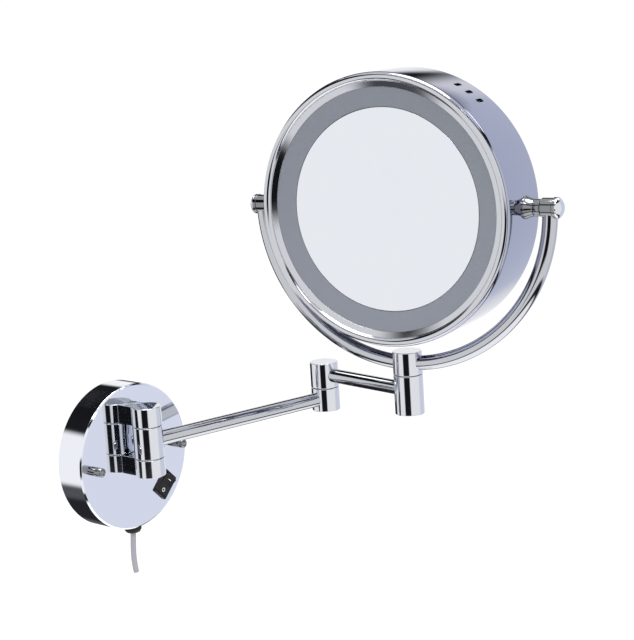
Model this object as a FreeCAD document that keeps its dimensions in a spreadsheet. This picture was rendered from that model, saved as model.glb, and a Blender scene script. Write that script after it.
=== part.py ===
"""Extendable shaving mirror on a wall plate: two arms, a swivelling fork and a lit, double-sided head.

Millimetres. The origin is the centre of the wall plate's back face, the wall is the plane Y = 0, the
object stands out towards -Y, and +Z is up. Every turning pair shares one stack of named values.
"""
import FreeCAD, Part
import math
import os
import re

import Sketcher

Vector = FreeCAD.Vector
doc = FreeCAD.newDocument("ShavingMirror")
sheet = doc.addObject("Spreadsheet::Sheet", "Sizes")

# name, value, meaning
SIZES = [
    ("plate_radius", 59.0, "wall cover, outside radius"),
    ("plate_depth", 25.4, "wall cover, back edge to front face"),
    ("plate_wall", 1.5, "wall cover, sheet thickness"),
    ("plate_chamfer", 1.2, "wall cover, chamfer of the front edge"),
    ("bracket_thick", 2.0, "mounting plate thickness"),
    ("bracket_margin", 2.0, "mounting plate edge to the inside of the cover"),
    ("wall_hole_radius", 2.6, "holes for the two wall screws"),
    ("wall_hole_reach", 40.0, "wall screw hole to the plate centre, up and down"),
    ("nut_inset", 13.0, "cap nut axis in from the cover edge"),
    ("nut_radius", 3.6, "cap nut radius"),
    ("nut_height", 12.0, "cap nut, how far it stands out"),
    ("stud_radius", 2.0, "cover stud radius"),
    ("switch_inset", 15.2, "switch centre in from the cover edge"),
    ("switch_bearing", 46.0, "switch centre below the +X axis, degrees"),
    ("switch_turn", 45.0, "switch long axis above the +X axis, degrees"),
    ("switch_long", 21.0, "switch flange length"),
    ("switch_short", 15.0, "switch flange width"),
    ("switch_flange", 2.0, "switch flange thickness"),
    ("switch_step", 0.9, "switch flange overhang past its body"),
    ("switch_body_depth", 13.0, "switch body behind the cover face"),
    ("rocker_long", 17.0, "rocker length"),
    ("rocker_short", 11.6, "rocker width"),
    ("rocker_tilt", 8.0, "half of the rocker throw, degrees"),
    ("rocker_gap", 0.25, "rocker to its opening, each side"),
    ("cord_y", 16.2, "cord exit, out from the wall"),
    ("grommet_radius", 7.0, "cord grommet flange radius"),
    ("grommet_neck", 4.0, "cord grommet neck radius"),
    ("grommet_height", 5.4, "cord grommet flange height"),
    ("cord_radius", 2.25, "power cord radius"),
    ("driver_long", 28.0, "lamp driver length"),
    ("driver_short", 18.0, "lamp driver width"),
    ("driver_high", 12.0, "lamp driver height"),
    ("driver_inset", 27.0, "lamp driver's outer end in from the cover edge"),
    ("driver_lift", 25.0, "lamp driver's lower side up from the cover edge"),
    ("block_gap", 9.0, "lamp driver to the terminal block"),
    ("block_long", 14.0, "terminal block length"),
    ("block_low", -12.0, "terminal block, lower side"),
    ("block_short", 9.0, "terminal block width"),
    ("block_high", 8.0, "terminal block height"),
    ("blade_pitch", 3.5, "switch blade to the switch centre"),
    ("blade_long", 6.5, "switch blade length"),
    ("blade_wide", 4.8, "switch blade width"),
    ("blade_thick", 0.8, "switch blade thickness"),
    ("well_depth", 5.0, "rocker well below the cover face"),
    ("rocker_crown", 0.2, "rocker middle above its flange"),
    ("rocker_belly", 2.8, "rocker underside behind its pivot"),
    ("rocker_rake", 0.9, "rocker end, how far it leans in"),
    ("rocker_pivot", -0.5, "rocker pivot, out from the cover face"),
    ("grommet_grip", 0.4, "play between the grommet and the cover wall"),
    ("grommet_tail", 1.5, "inner flange of the grommet"),
    ("knuckle_reach", 16.9, "cover face to the first hinge axis"),
    ("knuckle_radius", 12.0, "radius of every hinge barrel"),
    ("knuckle_bottom", -13.0, "first hinge, underside"),
    ("knuckle_low_joint", 1.9, "first hinge, lower parting line"),
    ("knuckle_high_joint", 27.9, "first hinge, upper parting line"),
    ("knuckle_top", 43.6, "first hinge, top"),
    ("neck_width", 15.0, "width of the necks that hold the fixed lugs"),
    ("lug_screw_radius", 2.5, "screws that hold the lugs"),
    ("screw_head_high", 2.2, "lug screw, straight part of the head"),
    ("screw_head_wide", 2.0, "lug screw head past its shank, radial"),
    ("screw_head_round", 1.0, "lug screw, rounded part of the head"),
    ("screw_short", 3.5, "lug screw tip to the hinge pin"),
    ("lead_short", 1.0, "lead end inside the tube end"),
    ("edge_chamfer", 0.5, "chamfer of the barrel edges"),
    ("joint_gap", 0.4, "gap at each parting line of a hinge"),
    ("washer_play", 0.05, "washer to the faces beside it"),
    ("pin_radius", 4.0, "hinge pin radius"),
    ("pin_bore", 2.0, "wire passage through a hinge pin, radius"),
    ("run_clearance", 0.05, "turning bore to its pin, radial"),
    ("pin_cover", 3.0, "metal left over the end of a hinge pin"),
    ("socket_start", 7.0, "tube end to the hinge axis"),
    ("tube_radius", 5.9, "arm tube radius"),
    ("tube_wall", 1.0, "tube wall, arms and fork"),
    ("wire_radius", 1.6, "lead inside a tube, radius"),
    ("arm1_length", 179.0, "first hinge axis to second hinge axis"),
    ("arm1_angle", -13.5, "long arm, degrees from +X"),
    ("arm1_level", 14.8, "long arm centreline height"),
    ("elbow_bottom", 4.8, "second hinge, underside"),
    ("elbow_joint", 24.8, "second hinge, parting line"),
    ("elbow_top", 46.5, "second hinge, top"),
    ("arm2_length", 99.2, "second hinge axis to third hinge axis"),
    ("arm2_angle", -97.6, "short arm, degrees from +X"),
    ("arm2_level", 35.6, "short arm centreline height"),
    ("hub_bottom", 16.1, "third hinge, underside"),
    ("hub_joint", 48.9, "third hinge, parting line"),
    ("hub_top", 68.0, "third hinge, top"),
    ("yoke_angle", -81.65, "tilt axis, degrees from +X"),
    ("yoke_level", 58.2, "fork centreline height at the hub"),
    ("yoke_tube_radius", 6.0, "fork tube radius"),
    ("yoke_gap", 13.4, "drum to the fork tube"),
    ("drum_radius", 108.6, "drum outside radius"),
    ("drum_wall", 2.0, "drum wall"),
    ("drum_front", 32.0, "tilt axis to the front bezel seat"),
    ("drum_back", 27.0, "tilt axis to the rear bezel seat"),
    ("shoulder", 1.1, "drum end smaller than the drum, radial"),
    ("shoulder_run", 3.0, "length of the rounded drum end"),
    ("shadow_gap", 0.6, "dark line between the drum and a bezel"),
    ("bezel_width", 11.8, "drum side to the bezel's inner edge"),
    ("bezel_break", 7.1, "drum side to the bezel's inner fold"),
    ("bezel_hem", 2.2, "bezel's turned-in hem, radial"),
    ("bezel_arc", 3.7, "radius of the rounded bezel face"),
    ("bezel_fold_depth", 1.9, "inner fold behind the bezel seat"),
    ("light_edge_depth", 4.2, "outer edge of the light ring behind the seat"),
    ("light_band", 15.9, "visible width of the light ring"),
    ("glass_depth", 7.3, "mirror face behind the bezel seat"),
    ("glass_thick", 3.0, "mirror glass thickness"),
    ("glass_gap", 0.3, "mirror edge to the light ring"),
    ("magnifier_sag", 3.3, "hollow of the magnifying mirror"),
    ("tray_seat", 8.0, "tray flange underside behind the bezel seat"),
    ("lamp_count", 24.0, "lamps on each board"),
    ("washer_height", 1.3, "friction washer height"),
    ("seat_bead", 2.0, "bead inside the drum, radial"),
    ("bead_thick", 1.5, "bead and tray flange thickness"),
    ("lamp_long", 3.5, "lamp length round the board"),
    ("lamp_wide", 2.8, "lamp width"),
    ("lamp_high", 1.0, "lamp height"),
    ("tray_depth", 8.0, "light tray, depth behind the glass"),
    ("tray_floor", 1.2, "light tray, floor thickness"),
    ("board_thick", 1.2, "lamp board thickness"),
    ("vent_count", 3.0, "vent slots"),
    ("vent_long", 10.5, "vent slot length"),
    ("vent_wide", 3.8, "vent slot width"),
    ("vent_shift", 5.0, "vent slots behind the tilt axis"),
    ("vent_bearing", 60.4, "first vent slot above the tilt axis, degrees"),
    ("vent_pitch", 5.8, "angle between vent slots, degrees"),
    ("axle_radius", 3.0, "tilt axle radius"),
    ("spigot_radius", 6.0, "boss spigot through the drum wall"),
    ("boss_radius", 8.6, "tilt boss radius at the drum"),
    ("boss_lip", 0.4, "boss rim and ring nut past the boss, radial"),
    ("nut_play", 0.5, "ring nut to the drum wall"),
    ("ring_nut", 3.0, "ring nut height"),
    ("spigot_long", 4.4, "boss spigot inside the drum"),
    ("axle_head_wide", 2.0, "axle head past the axle, radial"),
    ("axle_head_high", 2.0, "axle head height"),
    ("cone_wide", 2.8, "friction washer past the axle, radial"),
    ("cone_thick", 0.8, "friction washer thickness"),
    ("plug_long", 3.0, "plug of the domed cap"),
    ("boss_rim", 1.0, "tilt boss rim thickness"),
    ("boss_length", 7.5, "tilt boss length"),
    ("waist_radius", 6.7, "waist of the boss and of the collar"),
    ("collar_length", 5.0, "collar of the fork end"),
    ("tilt_gap", 0.3, "boss to the fork end"),
    ("end_radius", 7.75, "fork end radius"),
    ("end_lip_radius", 8.25, "fork end lip and cap radius"),
    ("end_lip", 2.4, "fork end lip length"),
    ("cap_height", 5.0, "domed cap height"),
    ("tube_seat", 4.6, "fork tube end below the tilt axis"),
]
for row, (alias, number, meaning) in enumerate(SIZES, start=1):
    sheet.set("A%d" % row, meaning)
    sheet.set("B%d" % row, str(number))
    sheet.setAlias("B%d" % row, alias)
doc.recompute()
ALIASES = {alias for alias, number, meaning in SIZES}

# Lengths that follow from the sizes above, written as the sheet's own expressions.
DERIVED = {
    "hinge_y": "plate_depth + knuckle_reach",
    "elbow_x": "arm1_length * cos(arm1_angle)",
    "elbow_y": "arm1_length * sin(arm1_angle) - hinge_y",
    "hub_x": "elbow_x + arm2_length * cos(arm2_angle)",
    "hub_y": "elbow_y + arm2_length * sin(arm2_angle)",
    "yoke_radius": "drum_radius + yoke_gap + yoke_tube_radius",
    "pivot_level": "yoke_level + yoke_radius",
    "nut_x": "plate_radius - nut_inset",
    "switch_reach": "plate_radius - switch_inset",
    "switch_x": "switch_reach * cos(switch_bearing)",
    "switch_z": "-switch_reach * sin(switch_bearing)",
    "drum_inner": "drum_radius - drum_wall",
    "bezel_inner": "drum_radius - bezel_width",
    "glass_radius": "bezel_inner - light_band",
    "ring_outer": "bezel_inner + 1.4",
    "boss_face": "drum_radius + boss_length",
    "collar_start": "boss_face + tilt_gap",
    "end_start": "collar_start + collar_length",
    "end_stop": "yoke_radius + yoke_tube_radius + 0.3",
    "axle_end": "end_stop - plug_long",
    "spigot_end": "drum_inner - spigot_long",
    "axle_head": "spigot_end - washer_play - washer_height",
}

# Where each turning group stands: X, Y, Z and its turn about the vertical.
WALL = ("0", "0", "0", "0")
KNUCKLE = ("0", "-hinge_y", "0", "arm1_angle")
ELBOW_LONG = ("elbow_x", "elbow_y", "0", "arm1_angle")
ELBOW_SHORT = ("elbow_x", "elbow_y", "0", "arm2_angle")
HUB_SHORT = ("hub_x", "hub_y", "0", "arm2_angle")
HUB_YOKE = ("hub_x", "hub_y", "0", "yoke_angle")
HEAD = ("hub_x", "hub_y", "pivot_level", "yoke_angle")
HEAD_BACK = ("hub_x", "hub_y", "pivot_level", "yoke_angle + 180")


def expand(text):
    """The expression with derived names worked out and sizes read from the sheet."""
    def swap(match):
        word = match.group(0)
        if word in DERIVED:
            return "(" + expand(DERIVED[word]) + ")"
        return "Sizes." + word if word in ALIASES else word
    return re.sub(r"[A-Za-z_][A-Za-z_0-9]*", swap, str(text))


def size(text):
    """The present value of an expression."""
    return float(sheet.evalExpression(expand(text)))


def bind(item, path, text):
    item.setExpression(path, expand(text))


# ---------------------------------------------------------------- building blocks

def stand(item, path, shift, turn, about):
    """Tie a placement to a shift and to a turn, in degrees, about the given axis."""
    axis = "vector(%g; %g; %g)" % tuple(about)
    bind(item, path, "placement(vector(%s; %s; %s); rotation(%s; %s))" % (*shift, axis, turn))


def body(label, frame=WALL, upright=Vector(0, 0, 1)):
    """A new body that stands in one of the frames and turns about the given axis."""
    part = doc.addObject("PartDesign::Body", label)
    part.Label = label
    part.AllowCompound = True
    stand(part, "Placement", frame[:3], frame[3], upright)
    return part


def sketch(part, plane, shift=("0", "0", "0"), turn="0", about=Vector(0, 0, 1)):
    """A sketch on one of the body's own planes, moved and turned within that plane's frame."""
    drawing = part.newObject("Sketcher::SketchObject", part.Name + "_outline")
    face = [item for item in part.Origin.OriginFeatures if item.Role == plane][0]
    drawing.AttachmentSupport = [(face, "")]
    drawing.MapMode = "FlatFace"
    stand(drawing, "AttachmentOffset", shift, turn, about)
    return drawing


def fix(drawing, kind, value, *where):
    """One dimension, tied to its expression."""
    index = drawing.addConstraint(Sketcher.Constraint(kind, *where, size(value)))
    drawing.setExpression("Constraints[%d]" % index, expand(value))


def circle(drawing, radius, x="0", y="0"):
    edge = drawing.addGeometry(Part.Circle(Vector(size(x), size(y), 0), Vector(0, 0, 1), size(radius)))
    fix(drawing, "DistanceX", x, -1, 1, edge, 3)
    fix(drawing, "DistanceY", y, -1, 1, edge, 3)
    fix(drawing, "Radius", radius, edge)


def outline(drawing, corners):
    """A closed outline. A corner is (x, y), or (x, y, radius, side) where the edge that leaves it is an
    arc whose centre lies to the left (side 1) or to the right (side -1) of the way round."""
    spots = [Vector(size(corner[0]), size(corner[1]), 0) for corner in corners]
    ends = []
    for index, corner in enumerate(corners):
        here, there = spots[index], spots[(index + 1) % len(spots)]
        if len(corner) == 2:
            edge = drawing.addGeometry(Part.LineSegment(here, there))
            ends.append((edge, 1, 2))
            continue
        radius, side = size(corner[2]), corner[3]
        half = (there - here) * 0.5
        rise = math.sqrt(max(radius ** 2 - half.Length ** 2, 0.0))
        normal = Vector(-half.y, half.x, 0).normalize() * side
        centre = here + half + normal * rise
        first, last = (here, there) if side > 0 else (there, here)
        start = math.atan2(first.y - centre.y, first.x - centre.x)
        stop = math.atan2(last.y - centre.y, last.x - centre.x)
        if stop < start:
            stop += 2 * math.pi
        ring = Part.Circle(centre, Vector(0, 0, 1), radius)
        edge = drawing.addGeometry(Part.ArcOfCircle(ring, start, stop))
        ends.append((edge, 1, 2) if side > 0 else (edge, 2, 1))
    for index, corner in enumerate(corners):
        edge, start, stop = ends[index]
        following = ends[(index + 1) % len(ends)]
        drawing.addConstraint(Sketcher.Constraint("Coincident", edge, stop, following[0], following[1]))
        fix(drawing, "DistanceX", corner[0], -1, 1, edge, start)
        fix(drawing, "DistanceY", corner[1], -1, 1, edge, start)
        if len(corner) == 4:
            fix(drawing, "Radius", corner[2], edge)


def block(drawing, low_x, high_x, low_y, high_y):
    outline(drawing, [(low_x, low_y), (high_x, low_y), (high_x, high_y), (low_x, high_y)])


def feature(part, kind, drawing, **settings):
    """A solid feature of a body. A cut that takes nothing away is an error."""
    before = part.Shape.Volume if part.Tip else 0.0
    item = part.newObject("PartDesign::" + kind, part.Name + "_" + kind.lower())
    item.Profile = drawing
    for name, value in settings.items():
        if isinstance(value, str) and name in ("Length", "Length2", "Angle"):
            bind(item, name, value)
        else:
            setattr(item, name, value)
    doc.recompute()
    after = part.Shape.Volume
    if kind in ("Pocket", "Groove") and not after < before - 1e-3:
        raise RuntimeError("%s removes nothing" % item.Name)
    if kind in ("Pad", "Revolution") and not after > before + 1e-3:
        raise RuntimeError("%s adds nothing" % item.Name)
    return item


def spin(part, drawing, axis="V_Axis", kind="Revolution", angle="360"):
    return feature(part, kind, drawing, ReferenceAxis=(drawing, [axis]), Angle=angle)


def pad(part, drawing, length, both=False, back=False):
    side = "Symmetric" if both else "One side"
    return feature(part, "Pad", drawing, SideType=side, Length=length, Reversed=back)


def pocket(part, drawing, length, both=False, back=False):
    side = "Symmetric" if both else "One side"
    return feature(part, "Pocket", drawing, SideType=side, Length=length, Reversed=back)


def ring_of(part, base, count):
    """Repeat a feature about the body's Y axis."""
    pattern = part.newObject("PartDesign::PolarPattern", part.Name + "_ring")
    line = [item for item in part.Origin.OriginFeatures if item.Role == "Y_Axis"][0]
    pattern.Originals = [base]
    pattern.Axis = (line, [""])
    pattern.Angle = 360
    pattern.Occurrences = int(count)
    part.Tip = pattern
    doc.recompute()
    return pattern


def turned(label, frame, corners, plane="XZ_Plane", axis="V_Axis", upright=Vector(0, 0, 1)):
    """A body turned from one outline: about Z on XZ_Plane, about Y on XY_Plane, or about X (H_Axis)."""
    part = body(label, frame, upright)
    drawing = sketch(part, plane)
    outline(drawing, corners)
    spin(part, drawing, axis)
    return part


def barrel_outline(inner, low, high, floor=None, roof=None):
    """Half section of a hinge barrel with chamfered edges and, at a closed end, metal over the bore."""
    out, cut = "knuckle_radius", "edge_chamfer"
    corners = [(inner, low), (f"{out} - {cut}", low), (out, f"{low} + {cut}"), (out, f"{high} - {cut}"),
               (f"{out} - {cut}", high), (inner, high)]
    if floor:
        corners[0:1] = [(inner, floor), ("0", floor), ("0", low)]
    if roof:
        corners[-1:] = [("0", high), ("0", roof), (inner, roof)]
    return corners


def socket(part, level, direction):
    """The cross hole that a tube end sits in: direction 1 leaves towards +X, -1 towards -X."""
    start = "socket_start" if direction > 0 else "-socket_start"
    drawing = sketch(part, "YZ_Plane", ("0", "0", start))
    circle(drawing, "tube_radius", "0", level)
    pocket(part, drawing, "knuckle_radius", back=direction > 0)


def hinge_washer(label, frame, joint):
    low, high = f"{joint} - joint_gap / 2 + washer_play", f"{joint} + joint_gap / 2 - washer_play"
    outer = "knuckle_radius - 1.2"
    bore = "pin_radius + run_clearance"
    return turned(label, frame, [(bore, low), (outer, low), (outer, high), (bore, high)])


def straight_tube(label, frame, outer, inner, start, stop, level):
    """A tube, or a rod when inner is "0", along the frame's X axis."""
    part = body(label, frame)
    drawing = sketch(part, "YZ_Plane", ("0", "0", start))
    circle(drawing, outer, "0", level)
    if inner != "0":
        circle(drawing, inner, "0", level)
    pad(part, drawing, f"{stop} - ({start})")
    return part


# ---------------------------------------------------------------- wall plate

def wall_cover():
    """Round dished cover, open at the back, with the holes that the front pieces pass through."""
    rim, wall, face, cut = "plate_radius", "plate_wall", "-plate_depth", "plate_chamfer"
    part = turned("wall_cover", WALL, [
        (f"{rim} - {wall}", "0"), (f"{rim} - {wall}", f"{face} + {wall}"), ("0", f"{face} + {wall}"),
        ("0", face), (f"{rim} - {cut}", face), (rim, f"{face} + {cut}"), (rim, "0")], "XY_Plane")
    holes = sketch(part, "XZ_Plane")
    for x in ("nut_x", "-nut_x"):
        circle(holes, "stud_radius + run_clearance", x)
    for z in (LOW_LUG_MIDDLE, HIGH_LUG_MIDDLE):
        circle(holes, "lug_screw_radius", "0", z)
    pocket(part, holes, "plate_depth * 1.1", back=True)
    opening = sketch(part, "XZ_Plane", ("switch_x", "switch_z", "0"), "switch_turn")
    half_long, half_short = "switch_long / 2 - switch_step", "switch_short / 2 - switch_step"
    block(opening, f"-({half_long})", half_long, f"-({half_short})", half_short)
    pocket(part, opening, "plate_depth * 1.1", back=True)
    exit_hole = sketch(part, "XY_Plane")
    circle(exit_hole, "grommet_neck", "0", "-cord_y")
    pocket(part, exit_hole, "plate_radius * 1.1")
    return part


def mounting_plate():
    """Flat steel disc that is screwed to the wall and carries the studs."""
    part = body("mounting_plate")
    disc = sketch(part, "XZ_Plane")
    circle(disc, "plate_radius - plate_wall - bracket_margin")
    for z in ("wall_hole_reach", "-wall_hole_reach"):
        circle(disc, "wall_hole_radius", "0", z)
    pad(part, disc, "bracket_thick")
    return part


def cover_studs():
    """Two studs fixed in the mounting plate that reach into the cap nuts."""
    part = body("cover_studs")
    ends = sketch(part, "XZ_Plane", ("0", "0", "bracket_thick"))
    for x in ("nut_x", "-nut_x"):
        circle(ends, "stud_radius", x)
    pad(part, ends, "plate_depth - bracket_thick + nut_height / 2")
    return part


def cap_nuts():
    """Two bright cap nuts with domed ends, bored for the studs."""
    part = body("cap_nuts")
    for x in ("nut_x", "-nut_x"):
        profile = sketch(part, "XY_Plane", (x, "0", "0"))
        base, dome = "-plate_depth", "-plate_depth - nut_height + nut_radius * 0.5"
        bore_end = "-plate_depth - nut_height / 2"
        outline(profile, [("0", f"{base} - nut_height"), ("0", bore_end), ("stud_radius", bore_end),
                          ("stud_radius", base), ("nut_radius", base),
                          ("nut_radius", dome, "nut_radius * 1.25", -1)])
        spin(part, profile)
    return part


SWITCH = ("switch_x", "-plate_depth", "switch_z", "-switch_turn")


def switch_housing():
    """Black snap-in housing: flange, body and the well that the rocker swings in."""
    part = body("switch_housing", SWITCH, Vector(0, 1, 0))
    flange = sketch(part, "XZ_Plane")
    block(flange, "-switch_long / 2", "switch_long / 2", "-switch_short / 2", "switch_short / 2")
    pad(part, flange, "switch_flange")
    half_long, half_short = "switch_long / 2 - switch_step", "switch_short / 2 - switch_step"
    trunk = sketch(part, "XZ_Plane")
    block(trunk, f"-({half_long})", half_long, f"-({half_short})", half_short)
    pad(part, trunk, "switch_body_depth", back=True)
    well = sketch(part, "XZ_Plane", ("0", "0", "switch_flange"))
    half_well = "rocker_long / 2 + rocker_gap * 2.6"
    half_side = "rocker_short / 2 + rocker_gap"
    block(well, f"-({half_well})", half_well, f"-({half_side})", half_side)
    pocket(part, well, "switch_flange + well_depth")
    return part


def switch_terminals():
    """Two blade terminals behind the switch."""
    part = body("switch_terminals", SWITCH, Vector(0, 1, 0))
    blades = sketch(part, "XZ_Plane", ("0", "0", "-switch_body_depth"))
    half = "blade_thick / 2"
    for x in ("-blade_pitch", "blade_pitch"):
        block(blades, f"{x} - {half}", f"{x} + {half}", "-blade_wide / 2", "blade_wide / 2")
    pad(part, blades, "blade_long", back=True)
    return part


def switch_rocker():
    """Two-winged rocker, resting with its lower wing pressed in."""
    part = body("switch_rocker", SWITCH, Vector(0, 1, 0))
    profile = sketch(part, "XY_Plane", ("0", "rocker_pivot", "0"), "-rocker_tilt")
    half, top = "rocker_long / 2", "-switch_flange - rocker_crown - rocker_pivot"
    wing = f"{top} - {half} * tan(rocker_tilt)"
    outline(profile, [("0", top), (half, wing), (f"{half} - rocker_rake", "rocker_belly"),
                      (f"rocker_rake - {half}", "rocker_belly"), (f"-{half}", wing)])
    pad(part, profile, "rocker_short", both=True)
    return part


def cord_grommet():
    """Rubber grommet: flange outside, neck through the cover, flange inside, bored for the cord."""
    part = body("cord_grommet", ("0", "-cord_y", "-plate_radius", "0"))
    flange, neck, bore = "grommet_radius", "grommet_neck", "cord_radius"
    profile = sketch(part, "XZ_Plane")
    inside, top = "plate_wall + grommet_grip", "plate_wall + grommet_grip + grommet_tail"
    outline(profile, [(bore, "-grommet_height"), (f"{flange} * 0.8", "-grommet_height"),
                      (flange, "-grommet_height * 0.6"), (flange, "0"), (neck, "0"), (neck, inside),
                      (f"{flange} * 0.77", inside), (f"{flange} * 0.77", top), (bore, top)])
    spin(part, profile)
    return part


# Route of the cord tail below the plate: X and Z of each point, from the grommet's lower face.
CORD_POINTS = [(0.0, 0.0), (-0.8, -8.0), (-1.6, -17.0), (-1.5, -26.0), (-0.2, -34.3)]


def cord_path(points):
    """Straight runs joined by tangent arcs, each as large as its two runs allow."""
    edges = []
    start = points[0]
    for before, corner, after in zip(points, points[1:], points[2:]):
        back, ahead = before - corner, after - corner
        turn = math.pi - back.getAngle(ahead)
        reach = 0.45 * min(back.Length, ahead.Length)
        radius = reach / math.tan(turn / 2)
        print("cord bend radius %.1f mm" % radius)
        enter = corner + back.normalize() * reach
        leave = corner + ahead.normalize() * reach
        inward = (back + ahead).normalize()
        middle = corner + inward * (math.hypot(radius, reach) - radius)
        edges.append(Part.LineSegment(start, enter).toShape())
        edges.append(Part.Arc(enter, middle, leave).toShape())
        start = leave
    edges.append(Part.LineSegment(start, points[-1]).toShape())
    return Part.Wire(edges)


def power_cord():
    """Short tail of round cord that hangs from the grommet."""
    top = -size("plate_radius") - size("grommet_height")
    depth = -size("cord_y")
    path = cord_path([Vector(x, depth, top + z) for x, z in CORD_POINTS])
    radius = size("cord_radius")
    first = path.Edges[0]
    start = first.valueAt(first.FirstParameter)
    heading = first.tangentAt(first.FirstParameter)
    section = Part.Wire(Part.Circle(start, heading, radius).toShape())
    tube = path.makePipeShell([section], True, False)
    ideal = math.pi * radius ** 2 * path.Length
    print("cord length %.2f mm, volume %.1f against %.1f" % (path.Length, tube.Volume, ideal))
    if abs(tube.Volume - ideal) > 0.02 * ideal:
        raise RuntimeError("cord volume is off")
    part = doc.addObject("Part::Feature", "power_cord")
    part.Label = "power_cord"
    part.Shape = tube
    part.Placement = FreeCAD.Placement()
    return part


def led_driver():
    """Small lamp driver stuck to the mounting plate."""
    part = body("led_driver")
    base = sketch(part, "XZ_Plane", ("0", "0", "bracket_thick"))
    left, low = "driver_inset - plate_radius", "driver_lift - plate_radius"
    block(base, left, f"{left} + driver_long", low, f"{low} + driver_short")
    pad(part, base, "driver_high")
    return part


def terminal_block():
    """Connector between the cord, the switch and the driver."""
    part = body("terminal_block")
    base = sketch(part, "XZ_Plane", ("0", "0", "bracket_thick"))
    left = "driver_inset - plate_radius + driver_long + block_gap"
    block(base, left, f"{left} + block_long", "block_low", "block_low + block_short")
    pad(part, base, "block_high")
    return part


# ---------------------------------------------------------------- first hinge

LOW_LUG_MIDDLE = "(knuckle_bottom + knuckle_low_joint) / 2"
HIGH_LUG_MIDDLE = "(knuckle_high_joint + knuckle_top) / 2"
FIRST_HINGE = ("0", "-hinge_y", "0", "0")


def lug(label, low, high, floor, roof, middle):
    """Fixed barrel with a neck to the cover, bored for the pin and tapped for its screw."""
    part = turned(label, FIRST_HINGE, barrel_outline("pin_radius", low, high, floor, roof))
    neck = sketch(part, "XY_Plane", ("0", "0", low))
    block(neck, "-neck_width / 2", "neck_width / 2", "pin_radius + 1.5", "knuckle_reach")
    pad(part, neck, f"{high} - ({low})")
    hole = sketch(part, "XZ_Plane", ("0", "0", "-knuckle_reach"))
    circle(hole, "lug_screw_radius", "0", middle)
    pocket(part, hole, "knuckle_reach - pin_radius - screw_short * 0.85", back=True)
    return part


def lug_screws():
    """Two screws from inside the cover into the lugs."""
    part = body("lug_screws")
    for z in (LOW_LUG_MIDDLE, HIGH_LUG_MIDDLE):
        head = "-plate_depth + plate_wall"
        edge = f"{head} + screw_head_high"
        top = f"{edge} + screw_head_round"
        wide = "lug_screw_radius + screw_head_wide"
        tip = "-hinge_y + pin_radius + screw_short"
        profile = sketch(part, "XY_Plane", ("0", "0", z))
        outline(profile, [("0", top), ("0", tip), ("lug_screw_radius", tip), ("lug_screw_radius", head),
                          (wide, head), (wide, edge), (f"{wide} - screw_head_round", top)])
        spin(part, profile)
    return part


def hinge_pin(label, frame, low, high):
    """A hollow pin, so that the lead can pass."""
    return turned(label, frame, [
        ("pin_bore", low), ("pin_radius", low), ("pin_radius", high), ("pin_bore", high)])


def first_hinge():
    gap = "joint_gap / 2"
    lug("knuckle_lower_lug", "knuckle_bottom", f"knuckle_low_joint - {gap}",
        "knuckle_bottom + pin_cover", None, LOW_LUG_MIDDLE)
    lug("knuckle_upper_lug", f"knuckle_high_joint + {gap}", "knuckle_top",
        None, "knuckle_top - pin_cover", HIGH_LUG_MIDDLE)
    lug_screws()
    hinge_pin("knuckle_pin", FIRST_HINGE, "knuckle_bottom + pin_cover", "knuckle_top - pin_cover")
    hinge_washer("knuckle_lower_washer", FIRST_HINGE, "knuckle_low_joint")
    hinge_washer("knuckle_upper_washer", FIRST_HINGE, "knuckle_high_joint")
    bore = "pin_radius + run_clearance"
    sleeve = turned("knuckle_sleeve", KNUCKLE, barrel_outline(
        bore, f"knuckle_low_joint + {gap}", f"knuckle_high_joint - {gap}"))
    socket(sleeve, "arm1_level", 1)


# ---------------------------------------------------------------- arms

def arm_parts(name, frame, length, level):
    """A tube between two barrels, and the lead inside it."""
    start, stop = "socket_start", f"{length} - socket_start"
    bore = "tube_radius - tube_wall"
    straight_tube(f"{name}_tube", frame, "tube_radius", bore, start, stop, level)
    straight_tube(f"{name}_lead", frame, "wire_radius", "0",
                  f"{start} + lead_short", f"{stop} - lead_short", level)


def second_hinge():
    gap, bore = "joint_gap / 2", "pin_radius + run_clearance"
    lower = turned("elbow_lower", ELBOW_LONG, barrel_outline(
        "pin_radius", "elbow_bottom", f"elbow_joint - {gap}", floor="elbow_bottom + pin_cover"))
    socket(lower, "arm1_level", -1)
    upper = turned("elbow_upper", ELBOW_SHORT, barrel_outline(
        bore, f"elbow_joint + {gap}", "elbow_top", roof="elbow_top - pin_cover"))
    socket(upper, "arm2_level", 1)
    hinge_pin("elbow_pin", ELBOW_LONG, "elbow_bottom + pin_cover", "elbow_top - pin_cover - joint_gap")
    hinge_washer("elbow_washer", ELBOW_LONG, "elbow_joint")


def third_hinge():
    """The pin is fixed in the upper barrel, below the fork tube, and turns in the lower one."""
    gap, bore = "joint_gap / 2", "pin_radius + run_clearance"
    pin_low = "hub_bottom + pin_cover"
    pin_high = "yoke_level - yoke_tube_radius - 0.5"
    lower = turned("hub_lower", HUB_SHORT, barrel_outline(
        bore, "hub_bottom", f"hub_joint - {gap}", floor=pin_low))
    socket(lower, "arm2_level", -1)
    hinge_pin("hub_pin", HUB_YOKE, f"{pin_low} + joint_gap", pin_high)
    hinge_washer("hub_washer", HUB_SHORT, "hub_joint")
    upper = turned("hub_upper", HEAD, barrel_outline(
        "pin_radius", f"hub_joint + {gap} - pivot_level", "hub_top - pivot_level",
        roof=f"{pin_high} - pivot_level"))
    passage = sketch(upper, "XY_Plane", turn="75", about=Vector(0, 1, 0))
    circle(passage, "yoke_tube_radius", "yoke_radius")
    spin(upper, passage, kind="Groove", angle="30")


# ---------------------------------------------------------------- fork

SEAT_ANGLE = "asin(tube_seat / yoke_radius)"


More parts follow.
